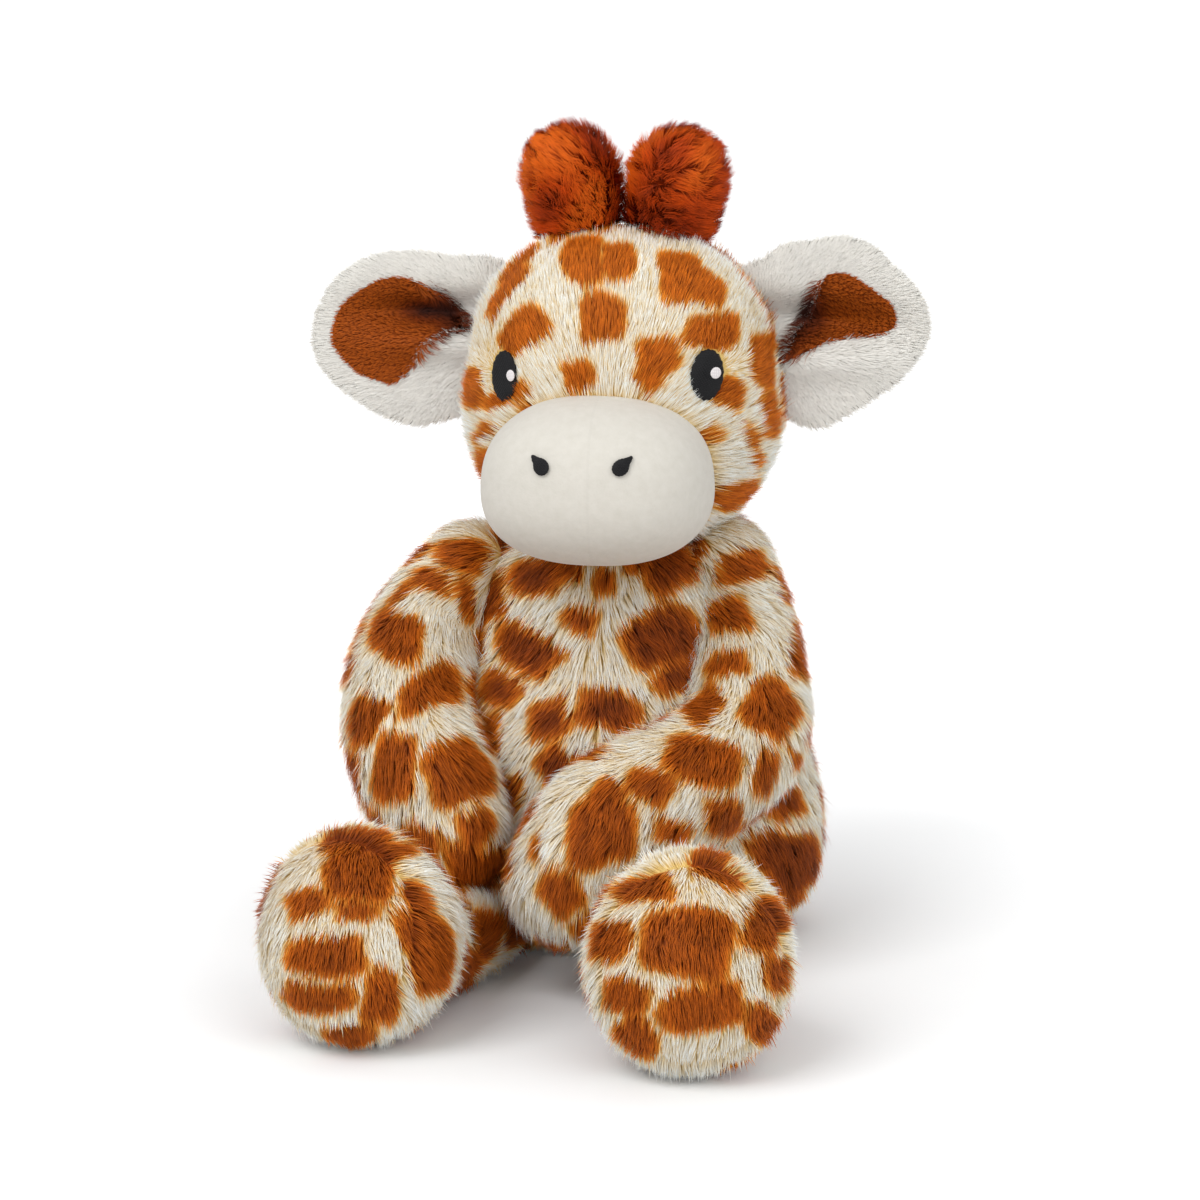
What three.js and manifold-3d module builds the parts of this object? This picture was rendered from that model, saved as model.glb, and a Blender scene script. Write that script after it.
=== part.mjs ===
// A seated soft giraffe: plush covers over their fillings, sewn together at soft joints.
// Millimetres, +Z up, facing -Y. The origin is the middle of the flat seat under the body.
import * as THREE from 'three';
import { mergeVertices } from 'three/addons/utils/BufferGeometryUtils.js';
import Module from 'manifold-3d';

const wasm = await Module();
wasm.setup();

// Fabric and clearances
const coverWall = 3;
const seamGap = 0.3;
const swingGap = 0.6;
const neckGap = 0.8;
const floorFlat = 0.5;
const overrun = 4;
const threadThickness = 0.9;

// Body
const bodyHeight = 124;
const bodyHalfWidth = 69;
const bodyHalfDepth = 50;
const neckRadius = 25;
const pelletBagHalfWidth = 40;
const pelletBagHalfDepth = 30;
const pelletBagHalfHeight = 13;
const pelletBagLift = 6;
const bagSlitRadius = 4;

// Head
const headHalfWidth = 48;
const headHalfDepth = 44;
const headHalfHeight = 48.5;
const headSideShift = 5.5;
const headYaw = THREE.MathUtils.degToRad(-3.6);
const neckOverlap = 14;
const muzzleHalfWidth = 35;
const muzzleHalfDepth = 32;
const muzzleHalfHeight = 25.5;
const eyeHalfWidth = 5;
const eyeHalfHeight = 7.7;
const eyeSpread = 30;
const highlightRadius = 1.9;
const nostrilHalfWidth = 2.6;
const nostrilHalfHeight = 3.3;
const nostrilSpread = 12;

// Ears and ossicones
const earHalfWidth = 28;
const earHalfHeight = 30;
const earHalfThickness = 6;
const earCup = 5;
const earSpread = 64;
const liningHalfWidth = 20;
const liningHalfHeight = 16;
const ossiconeHeight = 33;
const ossiconeRadius = 12;
const ossiconeSpread = 13.5;

// Limbs and tail
const armLength = 105;
const armRadius = 20.5;
const shoulderRadius = 15;
const shoulderSpread = 45;
const shoulderHeight = 108;
const legLength = 106;
const thighRadius = 15.5;
const footHalfWidth = 29;
const footHalfHeight = 31.5;
const hipSpread = 29;
const soleWall = 3;
const tailLength = 42;
const tailRadius = 4;
const tailHeight = 42;

// How far the sewn joints swing, in degrees
const rightShoulderSwingDegrees = [-60, 0];
const leftShoulderSwingDegrees = [-45, 0];
const hipSwingDegrees = [0, 90];
const earSwingDegrees = [-20, 20];
const ossiconeSwingDegrees = [-12, 12];
const tailSwingDegrees = [0, 70];
const swingStepDegrees = 7.5;

// Facets round and along a form
const bodyFacets = 24;
const bodyRings = 11;
const limbFacets = 16;
const limbRings = 8;
const capRings = 3;
const smallFacets = 14;
const smallRings = 7;
const fillingFacets = 12;
const fillingRings = 6;

// How boxy each swollen form is: 1 is an ellipsoid
const squareness = { round: 1, head: 0.94, muzzle: 0.86, foot: 0.95, bag: 0.8 };

const finishes = {
  plush: { color: 0xd9a878, roughness: 0.95 },
  filling: { color: 0xf4f4f0, roughness: 1 },
  pellets: { color: 0xdedad0, roughness: 0.9 },
  muzzle: { color: 0xe6e1d9, roughness: 0.9 },
  thread: { color: 0x17171a, roughness: 0.4 },
  highlight: { color: 0xf5f5f5, roughness: 0.6 },
  ear: { color: 0xe9e6e2, roughness: 0.95 },
  lining: { color: 0xa5521c, roughness: 0.9 },
  ossicone: { color: 0xb04f14, roughness: 0.95 },
};

const lateral = new THREE.Vector3(1, 0, 0);
const upward = new THREE.Vector3(0, 0, 1);
const downward = new THREE.Vector3(0, 0, -1);
const forward = new THREE.Vector3(0, -1, 0);

// Solids

function solidFrom(positions, indices) {
  const mesh = new wasm.Mesh({
    numProp: 3,
    vertProperties: new Float32Array(positions),
    triVerts: new Uint32Array(indices),
  });
  return new wasm.Manifold(mesh);
}

function solidFromGeometry(geometry) {
  geometry.deleteAttribute('normal');
  geometry.deleteAttribute('uv');
  const merged = mergeVertices(geometry);
  return solidFrom(merged.attributes.position.array, merged.index.array);
}

// A closed skin over rings of points, drawn to a point before the first ring and after the last.
function loft(firstPoint, rings, lastPoint) {
  const facets = rings[0].length;
  const points = [firstPoint, ...rings.flat(), lastPoint];
  const last = points.length - 1;
  const at = (ring, facet) => 1 + ring * facets + (facet % facets);
  const indices = [];
  for (let facet = 0; facet < facets; facet += 1) {
    indices.push(0, at(0, facet + 1), at(0, facet));
    indices.push(last, at(rings.length - 1, facet), at(rings.length - 1, facet + 1));
    for (let ring = 0; ring + 1 < rings.length; ring += 1) {
      indices.push(at(ring, facet), at(ring, facet + 1), at(ring + 1, facet + 1));
      indices.push(at(ring, facet), at(ring + 1, facet + 1), at(ring + 1, facet));
    }
  }
  return solidFrom(points.flatMap((point) => point.toArray()), indices);
}

function ringOf(facets, pointAt) {
  return Array.from({ length: facets }, (unused, facet) => pointAt(2 * Math.PI * facet / facets));
}

// A value read off a smooth curve through a list of [place, value, value ...] rows of shares.
function smoothShare(rows, place, column) {
  const next = rows.findIndex((row) => row[0] >= place);
  if (next <= 0) return rows[next < 0 ? rows.length - 1 : 0][column];
  const [before, after] = [rows[next - 1], rows[next]];
  const earlier = rows[Math.max(next - 2, 0)];
  const later = rows[Math.min(next + 1, rows.length - 1)];
  const span = after[0] - before[0];
  const slopeIn = (after[column] - earlier[column]) / (after[0] - earlier[0]);
  const slopeOut = (later[column] - before[column]) / (later[0] - before[0]);
  const t = (place - before[0]) / span;
  const [t2, t3] = [t * t, t * t * t];
  return (2 * t3 - 3 * t2 + 1) * before[column] + (t3 - 2 * t2 + t) * span * slopeIn
    + (3 * t2 - 2 * t3) * after[column] + (t3 - t2) * span * slopeOut;
}

// A limb: elliptical rings square to a smooth path, with a rounded cap at each end.
// The rows of radiusShares are [share of the path, lateral share, other share] of the radius.
function limb(path, radius, radiusShares, offset, facets, rings) {
  const curve = new THREE.CatmullRomCurve3(path, false, 'centripetal');
  const frameAt = (share) => {
    const along = curve.getTangentAt(share);
    const side = lateral.clone().addScaledVector(along, -along.x).normalize();
    return { along, side, up: new THREE.Vector3().crossVectors(along, side) };
  };
  const halfAt = (share, column) => radius * smoothShare(radiusShares, share, column) + offset;
  const ringAt = (share, shift, shrink) => {
    const { along, side, up } = frameAt(share);
    const centre = curve.getPointAt(share).addScaledVector(along, shift);
    return ringOf(facets, (angle) => centre.clone()
      .addScaledVector(side, shrink * halfAt(share, 1) * Math.cos(angle))
      .addScaledVector(up, shrink * halfAt(share, 2) * Math.sin(angle)));
  };
  const cap = (share, sign) => {
    const reach = (halfAt(share, 1) + halfAt(share, 2)) / 2;
    const capRingAt = (step) => {
      const angle = Math.PI / 2 * step / (capRings + 1);
      return ringAt(share, sign * reach * Math.sin(angle), Math.cos(angle));
    };
    const ringsOut = Array.from({ length: capRings }, (unused, step) => capRingAt(step + 1));
    const tip = curve.getPointAt(share).addScaledVector(frameAt(share).along, sign * reach);
    return { rings: ringsOut, tip };
  };
  const start = cap(0, -1);
  const end = cap(1, 1);
  const middle = Array.from({ length: rings }, (unused, ring) => ringAt(ring / (rings - 1), 0, 1));
  return loft(start.tip, [...start.rings.reverse(), ...middle, ...end.rings], end.tip);
}

// A swollen ball with its poles up and down. shape(point) may move each point of it,
// which comes as shares of the half sizes.
function ball(halfSizes, power, facets, rings, shape = (point) => point) {
  const bulge = (value) => Math.sign(value) * Math.abs(value) ** power;
  const place = (point) => shape(point).multiply(halfSizes);
  const ringAt = (latitude) => ringOf(facets, (angle) => place(new THREE.Vector3(
    bulge(Math.cos(latitude)) * bulge(Math.cos(angle)),
    bulge(Math.cos(latitude)) * bulge(Math.sin(angle)),
    bulge(Math.sin(latitude)),
  )));
  const latitudeOf = (ring) => Math.PI * ((ring + 1) / (rings + 1) - 1 / 2);
  const latitudes = Array.from({ length: rings }, (unused, ring) => latitudeOf(ring));
  const pole = (height) => place(new THREE.Vector3(0, 0, height));
  return loft(pole(-1), latitudes.map(ringAt), pole(1));
}

// A straight rod of elliptical section from one point along a direction.
function rod(from, direction, length, halfWidth, halfHeight, facets) {
  const geometry = new THREE.CylinderGeometry(1, 1, 1, facets);
  geometry.translate(0, 1 / 2, 0);
  geometry.scale(halfWidth, length, halfHeight);
  const rodAxis = new THREE.Vector3(0, 1, 0);
  const turn = new THREE.Quaternion().setFromUnitVectors(rodAxis, direction.clone().normalize());
  geometry.applyQuaternion(turn);
  geometry.translate(...from.toArray());
  return solidFromGeometry(geometry);
}

function moved(solid, position) {
  return solid.translate(position.toArray());
}

function turnedAbout(solid, pivot, axis, degrees) {
  const matrix = new THREE.Matrix4().makeTranslation(pivot)
    .multiply(new THREE.Matrix4().makeRotationAxis(axis, THREE.MathUtils.degToRad(degrees)))
    .multiply(new THREE.Matrix4().makeTranslation(pivot.clone().negate()));
  return solid.transform(matrix.elements);
}

// What a neighbour fills as it swings past the piece that turns on the pivot.
function swept(neighbour, clearance, pivot, axis, [least, most]) {
  const atRest = neighbour(clearance + seamGap);
  const passing = neighbour(clearance + swingGap);
  const steps = Math.ceil((most - least) / swingStepDegrees);
  const copies = Array.from({ length: steps + 1 }, (unused, step) => {
    const degrees = least + (most - least) * step / steps;
    return degrees === 0 ? atRest : turnedAbout(passing, pivot, axis, -degrees);
  });
  return wasm.Manifold.union([atRest, ...copies]);
}

function largestPart(solid) {
  return solid.decompose().reduce((best, part) => (part.volume() > best.volume() ? part : best));
}

// Everything above the floor
const room = 10 * bodyHeight;
function aboveFloor(solid, floor = 0) {
  const geometry = new THREE.BoxGeometry(room, room, room);
  geometry.translate(0, 0, floor + room / 2);
  return solid.intersect(solidFromGeometry(geometry));
}

// Body: a pear that swells to the seat, with a round neck that the head turns on
const bodyShares = [
  [0, 0.74, 0.78], [0.05, 0.87, 0.89], [0.14, 0.97, 0.97], [0.27, 1, 1], [0.4, 0.97, 0.97],
  [0.53, 0.89, 0.9], [0.65, 0.78, 0.8], [0.76, 0.66, 0.69], [0.86, 0.53, 0.58], [0.94, 0.4, 0.46],
];
const neckPivot = new THREE.Vector3(headSideShift / 2, 0, bodyHeight - neckRadius / 2);

function neckBall(offset, facets = limbFacets, rings = smallRings) {
  const size = new THREE.Vector3(neckRadius, neckRadius, neckRadius).addScalar(offset);
  return moved(ball(size, squareness.round, facets, rings), neckPivot);
}

function bodyForm(offset, facets = bodyFacets, rings = bodyRings) {
  const topShare = bodyShares[bodyShares.length - 1][0];
  const ringAt = (share) => ringOf(facets, (angle) => new THREE.Vector3(
    (bodyHalfWidth * smoothShare(bodyShares, share, 1) + offset) * Math.cos(angle),
    (bodyHalfDepth * smoothShare(bodyShares, share, 2) + offset) * Math.sin(angle),
    share * bodyHeight + offset * (2 * share / topShare - 1),
  ));
  const stack = Array.from({ length: rings }, (unused, ring) => ringAt(topShare * ring / (rings - 1)));
  const bottom = new THREE.Vector3(0, 0, -floorFlat - offset);
  const top = new THREE.Vector3(0, 0, bodyHeight + offset);
  return loft(bottom, stack, top).add(neckBall(offset));
}

// Head: a ball, fuller at the cheeks, on the neck
const headLift = neckRadius + headHalfHeight - neckOverlap;
const headCentre = new THREE.Vector3(headSideShift, 0, neckPivot.z + headLift);
const cheekShare = 0.05;

function headForm(offset, facets = bodyFacets, rings = bodyRings) {
  const size = new THREE.Vector3(headHalfWidth, headHalfDepth, headHalfHeight).addScalar(offset);
  const fuller = (point) => {
    point.x *= 1 - cheekShare * point.z;
    return point;
  };
  return ball(size, squareness.head, facets, rings, fuller);
}

// Muzzle: a soft box low on the face, wider towards the chin
const muzzleDropShare = 0.47;
const muzzleCentre = new THREE.Vector3(0, -headHalfDepth, -headHalfHeight * muzzleDropShare);
const chinShare = 0.1;

function muzzleForm(offset, facets = bodyFacets, rings = bodyRings) {
  const size = new THREE.Vector3(muzzleHalfWidth, muzzleHalfDepth, muzzleHalfHeight).addScalar(offset);
  const wider = (point) => {
    point.x *= 1 - chinShare * point.z;
    return point;
  };
  return moved(ball(size, squareness.muzzle, facets, rings, wider), muzzleCentre);
}

// Ears: cupped leaves, narrower where they are sewn to the head
const earPinchShare = 0.36;
const earBackShare = 0.1;
const earHeightShare = 0.27;
const earRootShare = 0.93;
const liningDepthShare = 0.4;
const earCentre = (side) => new THREE.Vector3(
  side * earSpread, headHalfDepth * earBackShare, headHalfHeight * earHeightShare);
const earRoot = (side) => earCentre(side).setX(side * headHalfWidth * earRootShare);

function earForm(side, offset, facets = limbFacets, rings = limbRings) {
  const size = new THREE.Vector3(earHalfWidth, earHalfThickness, earHalfHeight).addScalar(offset);
  const leaf = (point) => {
    const spread = point.x * point.x + point.z * point.z;
    point.z *= 1 - earPinchShare * (1 - side * point.x) / 2;
    point.y += earCup / size.y * (1 - spread);
    return point;
  };
  return moved(ball(size, squareness.round, facets, rings, leaf), earCentre(side));
}

// Ossicones: stubby horns that flare to a round top
const ossiconeRadiusShares = [[0, 1, 1], [0.5, 1.14, 1.14], [1, 1.3, 1.26]];
const ossiconeLeanShare = 0.17;
const ossiconeRootShare = 0.92;
const ossiconeRoot = (side) => new THREE.Vector3(
  side * ossiconeSpread, 0, headHalfHeight * ossiconeRootShare);

function ossiconeForm(side, offset, facets = limbFacets, rings = smallRings) {
  const root = ossiconeRoot(side);
  const reach = ossiconeHeight - ossiconeRadius * ossiconeRadiusShares.at(-1)[1];
  const tip = root.clone().add(new THREE.Vector3(side * reach * ossiconeLeanShare, 0, reach));
  const path = [root, root.clone().lerp(tip, 1 / 2), tip];
  return limb(path, ossiconeRadius, ossiconeRadiusShares, offset, facets, rings);
}

// Arms: the right one hangs beside the body with its paw on the thigh, the left one crosses the belly.
// Their places are shares of the arm's length from the shoulder.
const armPathShares = {
  right: [[0, 0, 0], [-0.13, -0.09, -0.12], [-0.124, -0.24, -0.25], [-0.082, -0.36, -0.37],
    [-0.004, -0.47, -0.5], [0.06, -0.545, -0.6]],
  left: [[0, 0, 0], [0.05, -0.1, -0.19], [0.03, -0.31, -0.37], [-0.139, -0.5, -0.465],
    [-0.324, -0.63, -0.54], [-0.42, -0.71, -0.64], [-0.445, -0.735, -0.7]],
};
const armRadiusShares = [[0, 0.8, 0.8], [0.2, 0.94, 0.94], [0.5, 1, 1], [0.85, 1.06, 1.06], [1, 0.92, 0.92]];
const shoulderForwardShare = 0.07;
const shoulder = (side) => new THREE.Vector3(
  side * shoulderSpread, -bodyHalfDepth * shoulderForwardShare, shoulderHeight);
const sideName = (side) => (side < 0 ? 'right' : 'left');

function pathFrom(start, shares, length) {
  return shares.map((share) => new THREE.Vector3(...share).multiplyScalar(length).add(start));
}

function armForm(side, offset, facets = limbFacets, rings = limbRings) {
  const path = pathFrom(shoulder(side), armPathShares[sideName(side)], armLength);
  return limb(path, armRadius, armRadiusShares, offset, facets, rings);
}

// Legs: thin thighs along the floor that swell to big round feet
const legSplayShares = { right: [0, 0.05, 0.14, 0.245], left: [0, 0.025, 0.06, 0.105] };
const legReachShares = { right: [0, -0.28, -0.58, -0.865], left: [0, -0.32, -0.68, -1] };
const legRadiusShares = [[0, 1, 1], [0.35, 1, 1], [0.6, 1.08, 1.1], [0.78, 1.45, 1.5], [1, 1.45, 1.5]];
const ankleLiftShare = 0.3;
const hipForwardShare = 0.72;
const soleShare = 0.45;
const hip = (side) => new THREE.Vector3(
  side * hipSpread, -bodyHalfDepth * hipForwardShare, thighRadius - floorFlat);

function legPath(side) {
  const name = sideName(side);
  const path = legSplayShares[name].map((splay, index) => {
    const point = hip(side);
    point.x += side * splay * legLength;
    point.y += legReachShares[name][index] * legLength;
    return point;
  });
  path.at(-1).z = footHalfHeight - floorFlat;
  path.at(-2).z += (path.at(-1).z - path.at(0).z) * ankleLiftShare;
  return path;
}

function legForm(side, offset, facets = limbFacets, rings = limbRings + 1) {
  const path = legPath(side);
  const shin = limb(path, thighRadius, legRadiusShares, offset, facets, rings);
  const footSize = new THREE.Vector3(footHalfWidth, footHalfWidth, footHalfHeight).addScalar(offset);
  return shin.add(moved(ball(footSize, squareness.foot, facets, rings), path.at(-1)));
}

// Tail: a cord of plush with a tuft, behind the seat
const tailRoot = new THREE.Vector3(0, bodyHalfDepth, tailHeight);
const tailPathShares = [[0, 0, 0], [0, 0.2, -0.18], [0, 0.38, -0.45], [0, 0.46, -0.74]];
const tailRadiusShares = [[0, 1, 1], [0.5, 1, 1], [0.7, 1.5, 1.5], [1, 1.85, 1.85]];

function tailForm(offset, facets = smallFacets, rings = limbRings) {
  const path = pathFrom(tailRoot, tailPathShares, tailLength);
  return limb(path, tailRadius, tailRadiusShares, offset, facets, rings);
}

// A cover is its form hollowed to the wall, cut by what it meets, and opened where it is sewn on.
function coverOf(form, cutter, opening) {
  const outer = form(0).subtract(cutter(0));
  const inner = form(-coverWall, fillingFacets, fillingRings).subtract(cutter(coverWall));
  return largestPart(outer.subtract(inner).subtract(opening));
}

function fillingOf(form, cutter) {
  const inset = coverWall + seamGap;
  return largestPart(form(-inset, fillingFacets, fillingRings).subtract(cutter(inset)));
}

// Assembly

const giraffe = new THREE.Group();

function groupAt(parent, position, yaw = 0) {
  const group = new THREE.Group();
  group.position.copy(position);
  group.rotation.z = yaw;
  parent.add(group);
  return group;
}

// The solid is given in the parent group's frame and kept about the piece's own place in it.
function addPiece(group, name, solid, finish, place = new THREE.Vector3()) {
  const { numProp, vertProperties, triVerts } = moved(solid, place.clone().negate()).getMesh();
  const geometry = new THREE.BufferGeometry();
  geometry.setAttribute('position', new THREE.BufferAttribute(vertProperties, numProp));
  geometry.setIndex(new THREE.BufferAttribute(triVerts, 1));
  const mesh = new THREE.Mesh(geometry, new THREE.MeshStandardMaterial({ ...finish, metalness: 0 }));
  mesh.name = name;
  mesh.position.copy(place);
  group.add(mesh);
}

// Body pieces
const bodySolid = (offset) => aboveFloor(bodyForm(offset), -offset);
const pelletBagCentre = new THREE.Vector3(0, 0, coverWall + pelletBagLift + pelletBagHalfHeight);

function pelletBag(offset) {
  const size = new THREE.Vector3(pelletBagHalfWidth, pelletBagHalfDepth, pelletBagHalfHeight);
  size.addScalar(offset);
  return moved(ball(size, squareness.bag, limbFacets, smallRings), pelletBagCentre);
}

function addBody() {
  const openingRadius = neckRadius / 2;
  const openingLength = neckRadius + overrun;
  const neckOpening = rod(neckPivot, upward, openingLength, openingRadius, openingRadius, smallFacets);
  const inner = aboveFloor(bodyForm(-coverWall, limbFacets, limbRings), coverWall);
  const cover = aboveFloor(bodyForm(0)).subtract(inner).subtract(neckOpening);
  addPiece(giraffe, 'body_cover', largestPart(cover), finishes.plush);
  const inset = coverWall + seamGap;
  const stuffed = aboveFloor(bodyForm(-inset, limbFacets, limbRings), inset);
  const filling = stuffed.subtract(pelletBag(seamGap));
  const bagOpening = rod(pelletBagCentre, downward, bodyHeight, bagSlitRadius, bagSlitRadius, smallFacets);
  addPiece(giraffe, 'body_filling', largestPart(filling.subtract(bagOpening)), finishes.filling);
  addPiece(giraffe, 'seat_pellet_bag', pelletBag(0), finishes.pellets, pelletBagCentre);
}

// The body as the head sees it, in the head's own frame
function inHead(solid) {
  const toHead = new THREE.Matrix4().makeRotationZ(headYaw).setPosition(headCentre).invert();
  return solid.transform(toHead.elements);
}

const eyeHeightShare = 0.15;
const nostrilHeightShare = 0.3;
const glintShiftShare = 0.25;

// A patch of embroidery that lies on a form, inside an elliptical outline
function patch(form, layer, thickness, centre, direction, halfWidth, halfHeight) {
  const start = centre.clone().addScaledVector(direction, -headHalfDepth / 4);
  const outline = rod(start, direction, headHalfDepth, halfWidth, halfHeight, smallFacets);
  return largestPart(form(layer + thickness).subtract(form(layer)).intersect(outline));
}

function addFace(head) {
  const eyeHeight = headHalfHeight * eyeHeightShare;
  const nostrilHeight = muzzleCentre.z + muzzleHalfHeight * nostrilHeightShare;
  for (const side of [-1, 1]) {
    const eyeDepth = -headHalfDepth * Math.sqrt(1 - (eyeSpread / headHalfWidth) ** 2 - eyeHeightShare ** 2);
    const eyeCentre = new THREE.Vector3(side * eyeSpread, eyeDepth, eyeHeight);
    const eyeDirection = new THREE.Vector3(side * eyeSpread / headHalfWidth / 2, -1, 0).normalize();
    const eye = patch(headForm, seamGap, threadThickness, eyeCentre, eyeDirection,
      eyeHalfWidth, eyeHalfHeight).subtract(muzzleForm(seamGap));
    addPiece(head, `eye_${sideName(side)}`, largestPart(eye), finishes.thread, eyeCentre);
    const glintShift = new THREE.Vector3(eyeHalfWidth, 0, eyeHalfHeight).multiplyScalar(glintShiftShare);
    const glintCentre = eyeCentre.clone().add(glintShift);
    const glint = patch(headForm, 2 * seamGap + threadThickness, threadThickness, glintCentre,
      eyeDirection, highlightRadius, highlightRadius);
    addPiece(head, `eye_highlight_${sideName(side)}`, glint, finishes.highlight, glintCentre);
    const nostrilCentre = new THREE.Vector3(
      side * nostrilSpread, muzzleCentre.y - muzzleHalfDepth, nostrilHeight);
    const nostril = patch(muzzleForm, seamGap, threadThickness, nostrilCentre, forward,
      nostrilHalfWidth, nostrilHalfHeight);
    addPiece(head, `nostril_${sideName(side)}`, nostril, finishes.thread, nostrilCentre);
  }
}

function addHead() {
  const head = groupAt(giraffe, headCentre, headYaw);
  const cutter = (clearance) => inHead(neckBall(clearance + neckGap, bodyFacets, bodyRings));
  const openingRadius = neckRadius / 2;
  const neckOpening = rod(new THREE.Vector3(), downward, 2 * headHalfHeight, openingRadius, openingRadius,
    smallFacets);
  addPiece(head, 'head_cover', coverOf(headForm, cutter, neckOpening), finishes.plush);
  addPiece(head, 'head_filling', fillingOf(headForm, cutter), finishes.filling);
  const onHead = (clearance) => headForm(clearance + seamGap);
  const backOpening = rod(muzzleCentre, forward.clone().negate(), 2 * muzzleHalfDepth,
    muzzleHalfWidth / 2, muzzleHalfHeight / 2, smallFacets);
  const muzzle = coverOf(muzzleForm, onHead, backOpening);
  addPiece(head, 'muzzle_cover', muzzle, finishes.muzzle, muzzleCentre);
  addPiece(head, 'muzzle_filling', fillingOf(muzzleForm, onHead), finishes.filling, muzzleCentre);
  addFace(head);
  for (const side of [-1, 1]) {
    addEar(head, side);
    addOssicone(head, side);
  }
}

function addEar(head, side) {
  const name = sideName(side);
  const root = earRoot(side);
  const cutter = swept(headForm, 0, root, upward, earSwingDegrees);
  const leaf = largestPart(earForm(side, 0).subtract(cutter));
  addPiece(head, `ear_${name}`, leaf, finishes.ear, root);
  const centre = earCentre(side);
  const start = centre.clone().addScaledVector(forward, -earCup * liningDepthShare);
  const outline = rod(start, forward, earHalfWidth, liningHalfWidth, liningHalfHeight, limbFacets);
  const layer = earForm(side, seamGap + threadThickness).subtract(earForm(side, seamGap));
  const lining = largestPart(layer.intersect(outline).subtract(cutter));
  addPiece(head, `ear_lining_${name}`, lining, finishes.lining, root);
}

function addOssicone(head, side) {
  const name = sideName(side);
  const root = ossiconeRoot(side);
  const cutter = (clearance) => swept(headForm, clearance, root, lateral, ossiconeSwingDegrees);
  const form = (offset, facets, rings) => ossiconeForm(side, offset, facets, rings);
  const start = root.clone().addScaledVector(upward, ossiconeHeight / 2);
  const opening = rod(start, downward, ossiconeHeight, ossiconeRadius / 2, ossiconeRadius / 2, smallFacets);
  addPiece(head, `ossicone_cover_${name}`, coverOf(form, cutter, opening), finishes.ossicone, root);
  addPiece(head, `ossicone_filling_${name}`, fillingOf(form, cutter), finishes.filling, root);
}

function addLeg(side) {
  const name = sideName(side);
  const pivot = hip(side);
  const sweptBody = (clearance) => swept(bodySolid, clearance, pivot, lateral, hipSwingDegrees);
  const foot = legPath(side).at(-1);
  const splay = foot.clone().sub(pivot).setZ(0).normalize();
  const soleStart = foot.clone().addScaledVector(splay, footHalfWidth * soleShare);
  const form = (offset, facets, rings) => aboveFloor(legForm(side, offset, facets, rings), -offset);
  const inFront = (gap) => rod(soleStart.clone().addScaledVector(splay, gap), splay, legLength,
    legLength, legLength, smallFacets);
  const shell = form(0).subtract(form(-soleWall, fillingFacets, limbRings)).subtract(sweptBody(0));
  const cover = largestPart(shell.subtract(inFront(-seamGap)));
  const sole = largestPart(shell.intersect(inFront(0)));
  addPiece(giraffe, `leg_cover_${name}`, cover, finishes.plush, pivot);
  addPiece(giraffe, `sole_${name}`, sole, finishes.plush, foot);
  const inset = soleWall + seamGap;
  const filling = form(-inset, fillingFacets, limbRings).subtract(sweptBody(inset));
  addPiece(giraffe, `leg_filling_${name}`, largestPart(filling), finishes.filling, pivot);
}

function addArm(side, swing) {
  const name = sideName(side);
  const pivot = shoulder(side);
  const form = (offset, facets, rings) => armForm(side, offset, facets, rings);
  const cutter = (clearance) => swept(bodySolid, clearance, pivot, lateral, swing)
    .add(legForm(side, clearance + seamGap));
  const inward = new THREE.Vector3(-side, 0, 0);
  const opening = rod(pivot, inward, armLength, shoulderRadius / 2, shoulderRadius / 2, smallFacets);
  addPiece(giraffe, `arm_cover_${name}`, coverOf(form, cutter, opening), finishes.plush, pivot);
  addPiece(giraffe, `arm_filling_${name}`, fillingOf(form, cutter), finishes.filling, pivot);
}

function addTail() {
  const cutter = swept(bodySolid, 0, tailRoot, lateral, tailSwingDegrees);
  const tail = largestPart(tailForm(0).subtract(cutter));
  addPiece(giraffe, 'tail', tail, finishes.plush, tailRoot);
}

addBody();
addHead();
for (const side of [-1, 1]) addLeg(side);
addArm(-1, rightShoulderSwingDegrees);
addArm(1, leftShoulderSwingDegrees);
addTail();

export default giraffe;
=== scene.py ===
"""A seated plush giraffe: furred covers over fibre fillings, a velour muzzle and a stitched face.

Sizes are in millimetres until a mesh is made. +Z is up, -Y is the way the toy faces, and its own right is -X.
"""

import math

import bpy
import numpy as np
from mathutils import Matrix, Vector
from mathutils.bvhtree import BVHTree


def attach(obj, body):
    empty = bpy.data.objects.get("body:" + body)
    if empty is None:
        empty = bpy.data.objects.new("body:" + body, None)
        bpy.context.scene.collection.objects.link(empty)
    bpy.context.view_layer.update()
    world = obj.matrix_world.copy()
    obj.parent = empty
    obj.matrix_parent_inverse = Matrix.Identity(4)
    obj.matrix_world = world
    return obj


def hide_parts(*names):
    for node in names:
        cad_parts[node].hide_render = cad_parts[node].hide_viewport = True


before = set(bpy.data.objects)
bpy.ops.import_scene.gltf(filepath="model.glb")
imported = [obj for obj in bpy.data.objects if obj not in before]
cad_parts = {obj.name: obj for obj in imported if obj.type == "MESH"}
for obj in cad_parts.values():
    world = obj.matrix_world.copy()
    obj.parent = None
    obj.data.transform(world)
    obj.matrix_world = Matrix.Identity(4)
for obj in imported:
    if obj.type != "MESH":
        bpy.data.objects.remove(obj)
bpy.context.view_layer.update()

METRES = 0.001
TINY = 1e-9
SEED = 4127
SIDES = {"right": -1, "left": 1}

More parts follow.
